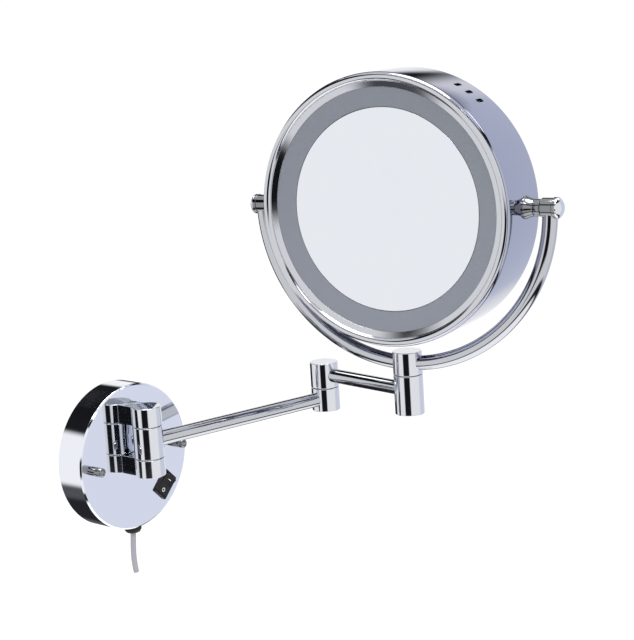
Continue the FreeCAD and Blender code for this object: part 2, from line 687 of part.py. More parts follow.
def bent_tube(label, outer, inner):
    """Half ring below the tilt axis, its ends just short of that axis."""
    part = body(label, HEAD)
    section = sketch(part, "XY_Plane", turn=SEAT_ANGLE, about=Vector(0, 1, 0))
    circle(section, outer, "yoke_radius")
    if inner != "0":
        circle(section, inner, "yoke_radius")
    spin(part, section, angle=f"180 deg - 2 * {SEAT_ANGLE}")
    return part


def fork_end(label, frame):
    """Collar and barrel at the top of the fork, bored for the axle and for the tube end."""
    bore, lip = "axle_radius", "end_stop - end_lip"
    part = turned(label, frame, [
        ("collar_start", bore), ("collar_start", "waist_radius"), ("end_start", "waist_radius"),
        ("end_start + 1.2", "end_radius"), (f"{lip} - 0.4", "end_radius"),
        (f"{lip} - 0.2", "end_radius - 0.3"), (lip, "end_lip_radius"), ("end_stop", "end_lip_radius"),
        ("end_stop", bore)], "XZ_Plane", "H_Axis")
    seat = sketch(part, "XY_Plane", turn=SEAT_ANGLE, about=Vector(0, 1, 0))
    circle(seat, "yoke_tube_radius", "yoke_radius")
    spin(part, seat, kind="Groove", angle="12")


def pivot_cap(label, frame):
    """Domed cap with a plug that sits in the axle bore."""
    turned(label, frame, [
        ("axle_end", "0"), ("axle_end", "axle_radius"), ("end_stop", "axle_radius"),
        ("end_stop", "end_lip_radius"), ("end_stop + 1", "end_lip_radius", "end_lip_radius * 1.3", -1),
        ("end_stop + cap_height", "0")], "XZ_Plane", "H_Axis")


def tilt_axle(label, frame):
    """Axle with a flat head inside the drum."""
    low, wide = "axle_head - axle_head_high", "axle_radius + axle_head_wide"
    turned(label, frame, [
        (low, "0"), (low, wide), ("axle_head", wide), ("axle_head", "axle_radius"),
        ("axle_end", "axle_radius"), ("axle_end", "0")], "XZ_Plane", "H_Axis")


def friction_washer(label, frame):
    """Coned washer under the axle head that gives the tilt its grip."""
    bore, rim = "axle_radius", "axle_radius + cone_wide"
    high = "axle_head + washer_height"
    turned(label, frame, [
        ("axle_head", bore), ("axle_head", f"{bore} + cone_thick"), (f"{high} - cone_thick", rim),
        (high, rim), ("axle_head + cone_thick", bore)], "XZ_Plane", "H_Axis")


def fork():
    bent_tube("yoke_tube", "yoke_tube_radius", "yoke_tube_radius - tube_wall")
    bent_tube("yoke_lead", "wire_radius", "0")
    for side, frame in (("right", HEAD), ("left", HEAD_BACK)):
        fork_end(f"{side}_fork_end", frame)
        pivot_cap(f"{side}_pivot_cap", frame)
        tilt_axle(f"{side}_tilt_axle", frame)
        friction_washer(f"{side}_friction_washer", frame)


# ---------------------------------------------------------------- head

def vents(part):
    """Rounded slots through the drum wall, spaced round the drum."""
    half, side = "vent_long / 2 - vent_wide / 2", "vent_wide / 2"
    low, high = f"vent_shift - ({half})", f"vent_shift + {half}"
    for index in range(int(size("vent_count"))):
        slot = sketch(part, "YZ_Plane", turn=f"vent_pitch * {index} - vent_bearing", about=Vector(1, 0, 0))
        outline(slot, [(low, f"-{side}"), (high, f"-{side}", f"{side} * 1.04", 1), (high, side),
                       (low, side, f"{side} * 1.04", 1)])
        pocket(part, slot, "drum_radius * 1.1", back=True)


def drum_housing():
    """Deep round drum with rounded ends, inner beads that seat the trays, vents and tilt holes."""
    out, inner, run = "drum_radius", "drum_inner", "shoulder_run"
    front, back = "shadow_gap / 2 - drum_front", "drum_back - shadow_gap / 2"
    fore, rear = "tray_seat - drum_front", "drum_back - tray_seat"
    bead = f"{inner} - seat_bead"
    part = turned("drum_housing", HEAD, [
        (inner, front), (f"{out} - shoulder", front, f"{run} * 1.6", 1), (out, f"{front} + {run}"),
        (out, f"{back} - {run}", f"{run} * 1.6", 1), (f"{out} - shoulder", back), (inner, back),
        (inner, rear), (bead, rear), (bead, f"{rear} - bead_thick"), (inner, f"{rear} - bead_thick"),
        (inner, f"{fore} + bead_thick"), (bead, f"{fore} + bead_thick"), (bead, fore), (inner, fore)],
        "XY_Plane")
    holes = sketch(part, "YZ_Plane")
    circle(holes, "spigot_radius")
    pocket(part, holes, "drum_radius * 2.2", both=True)
    vents(part)


def pivot_boss(label, frame):
    """Flared boss outside the drum with a hollow spigot through its wall."""
    bore, rim = "axle_radius + run_clearance", "boss_radius + boss_lip"
    part = turned(label, frame, [
        ("drum_inner", bore), ("drum_inner", rim), ("drum_radius + boss_rim", rim),
        ("drum_radius + boss_rim", "boss_radius", "boss_length * 2", 1), ("boss_face", "waist_radius"),
        ("boss_face", bore)], "XZ_Plane", "H_Axis")
    drum_side = sketch(part, "XY_Plane")
    block(drum_side, "1", "drum_radius", "-boss_radius * 2", "boss_radius * 2")
    spin(part, drum_side, kind="Groove")
    spigot = sketch(part, "XZ_Plane")
    block(spigot, "spigot_end", "drum_radius + boss_rim / 2", bore, "spigot_radius")
    spin(part, spigot, "H_Axis")


def boss_nut(label, frame):
    """Ring nut on the spigot, inside the drum."""
    low, high = "drum_inner - nut_play - ring_nut", "drum_inner - nut_play"
    rim = "boss_radius + boss_lip"
    turned(label, frame, [
        (low, "spigot_radius"), (high, "spigot_radius"), (high, rim), (low, rim)], "XZ_Plane", "H_Axis")


def dish_radius(rim):
    """Radius of the ball whose cap is as wide as the rim and as deep as the magnifier's hollow."""
    return f"(({rim}) ^ 2 + magnifier_sag ^ 2) / (2 * magnifier_sag)"


def face_side(name, mirror_name, frame, seat, hollow):
    """One lit side of the head: bezel, mirror, light ring, tray and lamp board. Depth runs out along -Y."""
    def at(behind):
        return f"-({seat} - ({behind}))"

    lip, hem = "drum_radius - shoulder", "drum_inner - bezel_hem"
    turned(f"{name}_bezel", frame, [
        ("bezel_inner", at("light_edge_depth")), ("bezel_inner", at("light_edge_depth - 0.5")),
        ("drum_radius - bezel_break", at("bezel_fold_depth"), "bezel_arc", 1), (lip, at("-shadow_gap / 2")),
        ("drum_inner", at("-shadow_gap / 2")), ("drum_inner", at("tray_seat - bead_thick")),
        (hem, at("tray_seat - bead_thick")), (hem, at("bezel_fold_depth + 0.3")),
        ("bezel_inner + 3.6", at("light_edge_depth"))], "XY_Plane")

    back = "glass_depth + glass_thick"
    ledge = "light_edge_depth + 2.6"
    turned(f"{name}_light_ring", frame, [
        ("glass_radius + glass_gap", at(back)), ("glass_radius + glass_gap", at("glass_depth")),
        ("bezel_inner - 0.2", at("light_edge_depth")), ("ring_outer", at("light_edge_depth")),
        ("ring_outer", at(ledge)), ("bezel_inner - 0.6", at(ledge))], "XY_Plane")

    floor = f"{back} + tray_depth"
    low_rim, rim = "glass_radius - 1.9", "glass_radius + 1.1"
    turned(f"{name}_light_tray", frame, [
        (low_rim, at(back)), (rim, at(back)), (rim, at(floor)),
        ("bezel_inner - 0.6", at(floor)), ("bezel_inner - 0.6", at(ledge)), ("bezel_inner + 3", at(ledge)),
        ("bezel_inner + 3", at("tray_seat - bead_thick")), ("drum_inner", at("tray_seat - bead_thick")),
        ("drum_inner", at("tray_seat")), ("bezel_inner + 3", at("tray_seat")),
        ("bezel_inner + 3", at(f"{floor} + tray_floor")), (low_rim, at(f"{floor} + tray_floor"))],
        "XY_Plane")

    board_top = f"{floor} - board_thick"
    turned(f"{name}_lamp_board", frame, [
        ("glass_radius + 2.6", at(floor)), ("glass_radius + 2.6", at(board_top)),
        ("bezel_inner - 1.8", at(board_top)), ("bezel_inner - 1.8", at(floor))], "XY_Plane")

    lamps = body(f"{name}_lamps", frame)
    chip = sketch(lamps, "XZ_Plane", ("0", "0", f"{seat} - ({board_top})"))
    middle = "(glass_radius + bezel_inner) / 2"
    block(chip, f"{middle} - lamp_wide / 2", f"{middle} + lamp_wide / 2",
          "-lamp_long / 2", "lamp_long / 2")
    ring_of(lamps, pad(lamps, chip, "lamp_high"), size("lamp_count"))

    rim = "glass_radius"
    if hollow:
        flat = "glass_radius - 2.2"
        turned(mirror_name, frame, [
            ("0", at("glass_depth + magnifier_sag"), dish_radius(rim), -1), (rim, at("glass_depth")),
            (rim, at(back)), (flat, at(back), dish_radius(flat), 1), ("0", at(f"{back} + magnifier_sag"))],
            "XY_Plane")
    else:
        turned(mirror_name, frame, [
            ("0", at("glass_depth")), (f"{rim} - 0.4", at("glass_depth")), (rim, at("glass_depth + 0.4")),
            (rim, at(back)), ("0", at(back))], "XY_Plane")


def head():
    drum_housing()
    for side, frame in (("right", HEAD), ("left", HEAD_BACK)):
        pivot_boss(f"{side}_pivot_boss", frame)
        boss_nut(f"{side}_boss_nut", frame)
    face_side("front", "plain_mirror", HEAD, "drum_front", hollow=False)
    face_side("rear", "magnifying_mirror", HEAD_BACK, "drum_back", hollow=True)


# ---------------------------------------------------------------- build, check, write

def check_and_write():
    """Stop on any failed object or bad solid, then write one STEP file for each sub-part."""
    doc.recompute()
    for item in doc.Objects:
        if {"Invalid", "Error"} & set(item.State):
            raise RuntimeError("%s failed: %s" % (item.Name, item.State))
    parts = [item for item in doc.Objects if item.TypeId in ("PartDesign::Body", "Part::Feature")]
    os.makedirs("parts", exist_ok=True)
    for item in parts:
        if item.Shape.isNull() or not item.Shape.isValid() or not item.Shape.Solids:
            raise RuntimeError("%s has no valid solid" % item.Label)
    for item in parts:
        item.Shape.exportStep("parts/%s.step" % item.Label)
        box = item.Shape.BoundBox
        print("%-24s %2d solid %10.1f mm3  X %.1f..%.1f  Y %.1f..%.1f  Z %.1f..%.1f" % (
            item.Label, len(item.Shape.Solids), item.Shape.Volume,
            box.XMin, box.XMax, box.YMin, box.YMax, box.ZMin, box.ZMax))
    print("%d nodes" % len(parts))


wall_cover()
mounting_plate()
cover_studs()
cap_nuts()
switch_housing()
switch_terminals()
switch_rocker()
cord_grommet()
power_cord()
led_driver()
terminal_block()
first_hinge()
arm_parts("long_arm", KNUCKLE, "arm1_length", "arm1_level")
second_hinge()
arm_parts("short_arm", ELBOW_SHORT, "arm2_length", "arm2_level")
third_hinge()
fork()
head()
check_and_write()
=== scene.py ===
"""Extendable shaving mirror: cover and switch, two arms, fork and a lit, double-sided head."""
import math

import bmesh
import bpy
from bpy.props import FloatProperty, FloatVectorProperty, IntProperty, PointerProperty
from mathutils import Matrix, Vector


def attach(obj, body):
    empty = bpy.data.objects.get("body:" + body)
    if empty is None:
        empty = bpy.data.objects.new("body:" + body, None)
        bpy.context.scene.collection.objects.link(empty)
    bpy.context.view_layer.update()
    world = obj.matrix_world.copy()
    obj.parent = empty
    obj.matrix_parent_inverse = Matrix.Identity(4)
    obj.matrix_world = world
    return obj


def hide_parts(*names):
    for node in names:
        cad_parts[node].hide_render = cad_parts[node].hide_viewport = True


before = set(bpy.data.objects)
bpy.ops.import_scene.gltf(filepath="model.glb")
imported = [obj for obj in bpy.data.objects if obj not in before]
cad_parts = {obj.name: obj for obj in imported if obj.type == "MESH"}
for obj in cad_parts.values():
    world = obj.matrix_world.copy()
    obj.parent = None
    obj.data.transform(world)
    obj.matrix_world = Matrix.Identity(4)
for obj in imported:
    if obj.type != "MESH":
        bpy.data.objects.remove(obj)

bl_info = {
    "name": "Shaving Mirror",
    "version": (1, 0, 0),
    "blender": (4, 5, 0),
    "location": "View3D > Sidebar > Mirror",
    "description": "Builds the extendable shaving mirror piece by piece",
    "category": "Object",
}

MM = 0.001
# Steps round a turned shape.
SPIN = 160
# The most of an edge that one rounding may take.
CORNER_SHARE = 0.42
# From a rounding to the close point that keeps the face beside it flat.
HOLD = 0.12 * MM


# ---------------------------------------------------------------- sizes

def length(name, description, value):
    return FloatProperty(name=name, description=description, default=value * MM, unit="LENGTH", precision=5)


def angle(name, description, value):
    return FloatProperty(name=name, description=description, default=math.radians(value), subtype="ANGLE")


def colour(name, description, value):
    return FloatVectorProperty(name=name, description=description, default=value, subtype="COLOR", size=3,
                               min=0.0, max=1.0)


def share(name, description, value):
    return FloatProperty(name=name, description=description, default=value, min=0.0, max=1.0, subtype="FACTOR")


class MIRROR_PG_cover(bpy.types.PropertyGroup):
    radius: length("Radius", "Outside radius of the wall cover", 59.0)
    depth: length("Depth", "Back edge of the cover to its front face", 25.4)
    wall: length("Wall", "Sheet thickness of the cover", 1.5)
    chamfer: length("Chamfer", "Chamfer round the front edge", 1.2)
    nut_inset: length("Nut inset", "Cap nut axis in from the cover edge", 13.0)
    nut_radius: length("Nut radius", "Radius of a cap nut", 3.6)
    nut_height: length("Nut height", "How far a cap nut stands out", 12.0)
    nut_count: IntProperty(name="Nuts", description="Cap nuts on the cover", default=2, min=1, max=12)
    stud_radius: length("Stud radius", "Stud inside a cap nut", 2.0)
    cord_out: length("Cord exit", "Cord exit, out from the wall", 16.2)
    grommet_radius: length("Grommet", "Flange radius of the cord grommet", 7.0)
    grommet_neck: length("Grommet neck", "Neck radius of the cord grommet", 4.0)
    grommet_height: length("Grommet height", "Height of the grommet flange", 5.4)
    cord_radius: length("Cord radius", "Radius of the power cord", 2.25)
    cord_length: length("Cord length", "Length of the cord tail along its route", 34.46)


class MIRROR_PG_switch(bpy.types.PropertyGroup):
    inset: length("Inset", "Switch centre in from the cover edge", 15.2)
    bearing: angle("Bearing", "Switch centre below the sideways axis", 46.0)
    turn: angle("Turn", "Long side of the switch above the sideways axis", 45.0)
    long: length("Length", "Flange length", 21.0)
    short: length("Width", "Flange width", 15.0)
    flange: length("Flange", "Flange thickness", 2.0)
    step: length("Overhang", "Flange past the switch body", 0.9)
    body: length("Body", "Switch body behind the cover face", 13.0)
    rocker_long: length("Rocker length", "Length of the rocker", 17.0)
    rocker_short: length("Rocker width", "Width of the rocker", 11.6)
    throw: angle("Half throw", "Half of the rocker's swing", 8.0)
    gap: length("Gap", "Rocker to its well", 0.25)


class MIRROR_PG_arms(bpy.types.PropertyGroup):
    reach: length("Reach", "Cover face to the first hinge axis", 16.9)
    barrel: length("Barrel radius", "Radius of every hinge barrel", 12.0)
    edge: length("Edge", "Rounding of the barrel edges", 0.5)
    gap: length("Parting gap", "Gap at each parting line", 0.4)
    pin: length("Pin radius", "Radius of a hinge pin", 4.0)
    play: length("Play", "Turning bore to its pin", 0.05)
    metal: length("End metal", "Metal over the end of a pin", 3.0)
    neck: length("Neck", "Width of the necks on the cover", 15.0)
    tube: length("Tube radius", "Radius of the arm tubes", 5.9)
    tube_wall: length("Tube wall", "Wall of the tubes", 1.0)
    seat: length("Seat", "Tube end to the hinge axis", 7.0)
    first_low: length("First hinge low", "Underside of the first hinge", -13.0)
    first_under: length("First hinge lower line", "Lower parting line", 1.9)
    first_over: length("First hinge upper line", "Upper parting line", 27.9)
    first_high: length("First hinge high", "Top of the first hinge", 43.6)
    long_length: length("Long arm", "First hinge to second hinge", 179.0)
    long_angle: angle("Long arm angle", "Long arm from the sideways axis", -13.5)
    long_level: length("Long arm level", "Height of the long arm's centreline", 14.8)
    second_low: length("Second hinge low", "Underside of the second hinge", 4.8)
    second_line: length("Second hinge line", "Parting line of the second hinge", 24.8)
    second_high: length("Second hinge high", "Top of the second hinge", 46.5)
    short_length: length("Short arm", "Second hinge to third hinge", 99.2)
    short_angle: angle("Short arm angle", "Short arm from the sideways axis", -97.6)
    short_level: length("Short arm level", "Height of the short arm's centreline", 35.6)
    third_low: length("Third hinge low", "Underside of the third hinge", 16.1)
    third_line: length("Third hinge line", "Parting line of the third hinge", 48.9)
    third_high: length("Third hinge high", "Top of the third hinge", 68.0)


class MIRROR_PG_fork(bpy.types.PropertyGroup):
    bearing: angle("Tilt axis", "Tilt axis from the sideways axis", -81.65)
    level: length("Level", "Height of the fork's lowest centreline", 58.2)
    tube: length("Tube radius", "Radius of the fork tube", 6.0)
    gap: length("Gap", "Drum to the fork tube", 13.4)
    seat: length("Seat", "Tube end below the tilt axis", 4.6)
    boss: length("Boss", "Tilt boss radius at the drum", 8.6)
    boss_rim: length("Boss rim", "Thickness of the boss rim", 1.0)
    boss_lip: length("Boss lip", "Boss rim past the boss", 0.4)
    boss_length: length("Boss length", "Length of a tilt boss", 7.5)
    waist: length("Waist", "Waist of the boss and of the collar", 6.7)
    collar: length("Collar", "Length of the fork end's collar", 5.0)
    tilt_gap: length("Tilt gap", "Boss to the fork end", 0.3)
    end: length("End", "Radius of a fork end", 7.75)
    lip: length("Lip", "Radius of the lip and cap", 8.25)
    lip_length: length("Lip length", "Length of the lip", 2.4)
    cap: length("Cap", "Height of the domed cap", 5.0)
    plug: length("Plug", "Plug of the domed cap", 3.0)
    axle: length("Axle", "Tilt axle radius", 3.0)
    spigot: length("Spigot", "Boss spigot radius", 6.0)
    spigot_length: length("Spigot length", "Spigot inside the drum", 4.4)


class MIRROR_PG_head(bpy.types.PropertyGroup):
    radius: length("Drum radius", "Outside radius of the drum", 108.6)
    wall: length("Drum wall", "Wall of the drum", 2.0)
    front: length("Front", "Tilt axis to the front bezel seat", 32.0)
    back: length("Back", "Tilt axis to the rear bezel seat", 27.0)
    shoulder: length("Shoulder", "Drum end smaller than the drum", 1.1)
    shoulder_run: length("Shoulder run", "Length of the rounded drum end", 3.0)
    line: length("Dark line", "Gap between the drum and a bezel", 0.6)
    bezel_width: length("Bezel width", "Drum side to the bezel's inner edge", 11.8)
    bezel_fold: length("Bezel fold", "Drum side to the bezel's inner fold", 7.1)
    bezel_arc: length("Bezel arc", "Radius of the rounded bezel face", 3.7)
    fold_depth: length("Fold depth", "Inner fold behind the seat", 1.9)
    edge_depth: length("Ring depth", "Outer edge of the light ring behind the seat", 4.2)
    band: length("Light band", "Visible width of the light ring", 15.9)
    glass_depth: length("Glass depth", "Mirror face behind the seat", 7.3)
    glass: length("Glass", "Mirror glass thickness", 3.0)
    glass_gap: length("Glass gap", "Mirror edge to the light ring", 0.3)
    sag: length("Hollow", "Hollow of the magnifying mirror", 3.3)
    tray_seat: length("Tray seat", "Tray flange behind the seat", 8.0)
    bead: length("Bead", "Bead inside the drum", 2.0)
    bead_thick: length("Bead thickness", "Thickness of the beads", 1.5)
    tray_depth: length("Tray depth", "Light tray behind the glass", 8.0)
    board: length("Board", "Lamp board thickness", 1.2)
    lamps: IntProperty(name="Lamps", description="Lamps on each board", default=24, min=3, max=96)
    lamp_long: length("Lamp length", "Length of a lamp", 3.5)
    lamp_wide: length("Lamp width", "Width of a lamp", 2.8)
    lamp_high: length("Lamp height", "Height of a lamp", 1.0)
    vents: IntProperty(name="Vents", description="Vent slots in the drum", default=3, min=1, max=12)
    vent_long: length("Vent length", "Length of a vent slot", 10.5)
    vent_wide: length("Vent width", "Width of a vent slot", 3.8)
    vent_shift: length("Vent shift", "Vent slots behind the tilt axis", 5.0)
    vent_bearing: angle("Vent bearing", "First vent slot above the tilt axis", 60.4)
    vent_pitch: angle("Vent pitch", "Angle between vent slots", 5.8)


class MIRROR_PG_finish(bpy.types.PropertyGroup):
    chrome: colour("Chrome", "Colour of the chrome plate", (0.80, 0.82, 0.87))
    chrome_rough: share("Chrome roughness", "Roughness of the polished chrome", 0.045)
    # Painted shade: the barrels, tubes, bezels and small parts are the same chrome as the cover, each painted
    # darker by its share.
    barrel_share: share("Barrel tint", "Brightness of the barrels beside the cover", 0.85)
    tube_painted_shade_share: share("Tube tint", "Brightness of the tubes beside the cover", 0.64)
    bezel_painted_shade_share: share("Bezel tint", "Brightness of the bezels beside the cover", 0.72)
    small_painted_shade_share: share("Small part tint", "Brightness of nuts, bosses and fork ends beside the cover", 0.3)
    # Painted shade: the drum is the same chrome plate as the cover, painted darker and bluer.
    drum: colour("Drum chrome", "Colour of the drum's chrome plate", (0.4, 0.42, 0.52))
    steel: colour("Steel", "Colour of the zinc plated steel", (0.58, 0.58, 0.57))
    black: colour("Black plastic", "Colour of the switch", (0.012, 0.012, 0.013))
    rubber: colour("Rubber", "Colour of the grommet", (0.016, 0.016, 0.017))
    sheath: colour("Cord", "Colour of the cord sheath", (0.31, 0.31, 0.35))
    ring: colour("Light ring", "Colour of the frosted light ring", (0.175, 0.19, 0.225))
    silver: colour("Mirror", "Colour of the silvered glass", (0.75, 0.775, 0.825))


class MIRROR_PG_stage(bpy.types.PropertyGroup):
    lens: FloatProperty(name="Lens", description="Focal length of the camera", default=90.0, min=1.0)
    eye: FloatVectorProperty(name="Camera", description="Place of the camera", size=3, subtype="TRANSLATION",
                             default=(-0.86039, -0.93402, 0.35243))
    azimuth: angle("Azimuth", "Bearing of the view", -49.14)
    elevation: angle("Elevation", "Height of the view", 9.09)
    roll: angle("Roll", "Lean of the camera", -3.71)
    shift_x: FloatProperty(name="Shift X", description="Sideways shift of the lens", default=0.062)
    shift_y: FloatProperty(name="Shift Y", description="Upward shift of the lens", default=-0.0964)
    floor: length("Floor", "Height of the floor", -2000.0)
    room: length("Surround", "Radius of the round surround", 1600.0)
    room_top: length("Surround top", "Height of the surround's upper edge", 2600.0)
    sky: FloatProperty(name="Sky", description="Strength of the pale surround", default=1.04, min=0.0)
    key: FloatProperty(name="Key", description="Power of the large soft light", default=16.0, min=0.0)


GROUPS = {
    "mirror_cover": MIRROR_PG_cover,
    "mirror_switch": MIRROR_PG_switch,
    "mirror_arms": MIRROR_PG_arms,
    "mirror_fork": MIRROR_PG_fork,
    "mirror_head": MIRROR_PG_head,
    "mirror_finish": MIRROR_PG_finish,
    "mirror_stage": MIRROR_PG_stage,
}


# ---------------------------------------------------------------- where things stand

TO_Y = Matrix.Rotation(-math.pi / 2, 4, "X")
TO_X = Matrix.Rotation(math.pi / 2, 4, "Y")


def place(x, y, z, turn=0.0):
    return Matrix.Translation((x, y, z)) @ Matrix.Rotation(turn, 4, "Z")


def first_axis(scene):
    return Vector((0.0, -scene.mirror_cover.depth - scene.mirror_arms.reach))


def second_axis(scene):
    arms = scene.mirror_arms
    way = Vector((math.cos(arms.long_angle), math.sin(arms.long_angle)))
    return first_axis(scene) + way * arms.long_length


def third_axis(scene):
    arms = scene.mirror_arms
    way = Vector((math.cos(arms.short_angle), math.sin(arms.short_angle)))
    return second_axis(scene) + way * arms.short_length


def fork_radius(scene):
    return scene.mirror_head.radius + scene.mirror_fork.gap + scene.mirror_fork.tube


def head_place(scene, turned=False):
    fork = scene.mirror_fork
    x, y = third_axis(scene)
    return place(x, y, fork.level + fork_radius(scene), fork.bearing + (math.pi if turned else 0.0))


def switch_place(scene):
    cover, switch = scene.mirror_cover, scene.mirror_switch
    reach = cover.radius - switch.inset
    spot = Vector((reach * math.cos(switch.bearing), -cover.depth, -reach * math.sin(switch.bearing)))
    return Matrix.Translation(spot) @ Matrix.Rotation(-switch.turn, 4, "Y")


# ---------------------------------------------------------------- shapes

def finished(name, mesh, material, body, stands_for=(), sharp=None):
    """Name a mesh, shade it, give it its material and let it ride its body."""
    mesh.name = name
    work = bmesh.new()
    work.from_mesh(mesh)
    bmesh.ops.remove_doubles(work, verts=work.verts, dist=1e-7)
    bmesh.ops.recalc_face_normals(work, faces=work.faces)
    work.to_mesh(mesh)
    work.free()
    mesh.shade_smooth()
    if sharp is not None:
        mesh.set_sharp_from_angle(angle=sharp)
    mesh.materials.clear()
    mesh.materials.append(material)
    piece = bpy.data.objects.new(name, mesh)
    bpy.context.scene.collection.objects.link(piece)
    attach(piece, body)
    if stands_for:
        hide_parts(*stands_for)
    return piece


def arc(start, end, radius, side, steps=10):
    """Points between start and end on an arc; the centre lies left (1) or right (-1) of the way."""
    a, b = Vector(start), Vector(end)
    half = (b - a) / 2
    normal = Vector((-half.y, half.x)).normalized() * side
    centre = a + half + normal * math.sqrt(max(radius ** 2 - half.length_squared, 0.0))
    first = math.atan2(a.y - centre.y, a.x - centre.x)
    sweep = math.atan2(b.y - centre.y, b.x - centre.x) - first
    while sweep * side <= 0:
        sweep += 2 * math.pi * side
    turns = [first + sweep * k / steps for k in range(1, steps)]
    return [(centre.x + radius * math.cos(t), centre.y + radius * math.sin(t), 0.0) for t in turns]


def rounded(corners, steps=5):
    """The outline with each corner rounded by its third number, and a close point on each side of it."""
    points = []
    count = len(corners)
    for index, (x, y, fillet) in enumerate(corners):
        here = Vector((x, y))
        before, after = Vector(corners[index - 1][:2]), Vector(corners[(index + 1) % count][:2])
        if fillet <= 0.0:
            points.append(here)
            continue
        back, ahead = before - here, after - here
        turn = back.angle(ahead)
        reach = min(fillet / math.tan(turn / 2), CORNER_SHARE * back.length, CORNER_SHARE * ahead.length)
        radius = reach * math.tan(turn / 2)
        hold = min(HOLD, 0.05 * min(back.length, ahead.length))
        enter, leave = here + back.normalized() * reach, here + ahead.normalized() * reach
        middle = here + (back.normalized() + ahead.normalized()).normalized() * math.hypot(reach, radius)
        points.append(here + back.normalized() * (reach + hold))
        first, last = enter - middle, leave - middle
        span = first.angle_signed(last)
        for k in range(steps + 1):
            t = -span * k / steps
            points.append(middle + Vector((first.x * math.cos(t) - first.y * math.sin(t),
                                           first.x * math.sin(t) + first.y * math.cos(t))))
        points.append(here + ahead.normalized() * (reach + hold))
    return points


def spun(corners, stand, steps=SPIN, start=0.0, rounding=5):
    """A closed outline of radius and height turned about its own upright axis, then stood in place."""
    points = rounded(corners, rounding)
    flat = 1e-7
    verts, rings = [], []
    for point in points:
        if point.x < flat:
            rings.append([len(verts)])
            verts.append(stand @ Vector((0.0, 0.0, point.y)))
            continue
        rings.append(range(len(verts), len(verts) + steps))
        for k in range(steps):
            t = start + 2 * math.pi * k / steps
            verts.append(stand @ Vector((point.x * math.cos(t), point.x * math.sin(t), point.y)))
    faces = []
    for index, ring in enumerate(rings):
        other = rings[(index + 1) % len(rings)]
        if len(ring) == 1 and len(other) == 1:
            continue
        for k in range(steps):
            n = (k + 1) % steps
            if len(ring) == 1:
                faces.append((ring[0], other[n], other[k]))
            elif len(other) == 1:
                faces.append((ring[k], ring[n], other[0]))
            else:
                faces.append((ring[k], ring[n], other[n], other[k]))
    mesh = bpy.data.meshes.new("turned")
    mesh.from_pydata(verts, [], faces)
    return mesh


def swept(centres, radius, around=72):
    """A closed round bar along a row of centres."""
    verts, faces = [], []
    count = len(centres)
    heading = (centres[1] - centres[0]).normalized()
    side = heading.orthogonal().normalized()
    for index, centre in enumerate(centres):
        ahead = centres[min(index + 1, count - 1)] - centres[max(index - 1, 0)]
        ahead.normalize()
        side = (side - ahead * side.dot(ahead)).normalized()
        other = ahead.cross(side)
        for k in range(around):
            t = 2 * math.pi * k / around
            verts.append(centre + (side * math.cos(t) + other * math.sin(t)) * radius)
    for index in range(count - 1):
        for k in range(around):
            n = (k + 1) % around
            low, high = index * around, (index + 1) * around
            faces.append((low + k, low + n, high + n, high + k))
    faces.append(tuple(range(around))[::-1])
    faces.append(tuple(range((count - 1) * around, count * around)))
    mesh = bpy.data.meshes.new("swept")
    mesh.from_pydata(verts, [], faces)
    return mesh


def plate_shape(corners, low, high, stand, edge=0.0, steps=6):
    """A flat shape from its corners (x, y, rounding), as thick as low to high, with rounded top edges."""
    ring = rounded(corners, steps)
    work = bmesh.new()
    base = [work.verts.new((p.x, p.y, low)) for p in ring]
    face = work.faces.new(base)
    grown = bmesh.ops.extrude_face_region(work, geom=[face])
    tops = [item for item in grown["geom"] if isinstance(item, bmesh.types.BMVert)]
    for vert in tops:
        vert.co.z = high
    bmesh.ops.recalc_face_normals(work, faces=work.faces)
    if edge > 0.0:
        rims = [e for e in work.edges if all(v in tops for v in e.verts)]
        bmesh.ops.bevel(work, geom=rims, offset=edge, segments=4, profile=0.5, affect="EDGES",
                        clamp_overlap=True)
    bmesh.ops.transform(work, matrix=stand, verts=work.verts)
    mesh = bpy.data.meshes.new("plate")
    work.to_mesh(mesh)
    work.free()
    return mesh


def box_corners(long, short, rounding):
    x, y = long / 2, short / 2
    return [(-x, -y, rounding), (x, -y, rounding), (x, y, rounding), (-x, y, rounding)]


def combined(mesh, others, operation):
    """Cut other solids out of a mesh, or join them to it, and return the plain result."""
    base = bpy.data.objects.new("base", mesh)
    bpy.context.scene.collection.objects.link(base)
    helpers = []
    for other in others:
        helper = bpy.data.objects.new("helper", other)
        bpy.context.scene.collection.objects.link(helper)
        step = base.modifiers.new("combine", "BOOLEAN")
        step.operation = operation
        step.solver = "EXACT"
        step.object = helper
        helpers.append(helper)
    return plain(base, helpers)


def plain(base, helpers=()):
    """The mesh that an object's modifiers give; the object and its helpers are removed."""
    bpy.context.view_layer.update()
    graph = bpy.context.evaluated_depsgraph_get()
    result = bpy.data.meshes.new_from_object(base.evaluated_get(graph))
    base.modifiers.clear()
    for item in (base, *helpers):
        bpy.data.objects.remove(item)
    return result


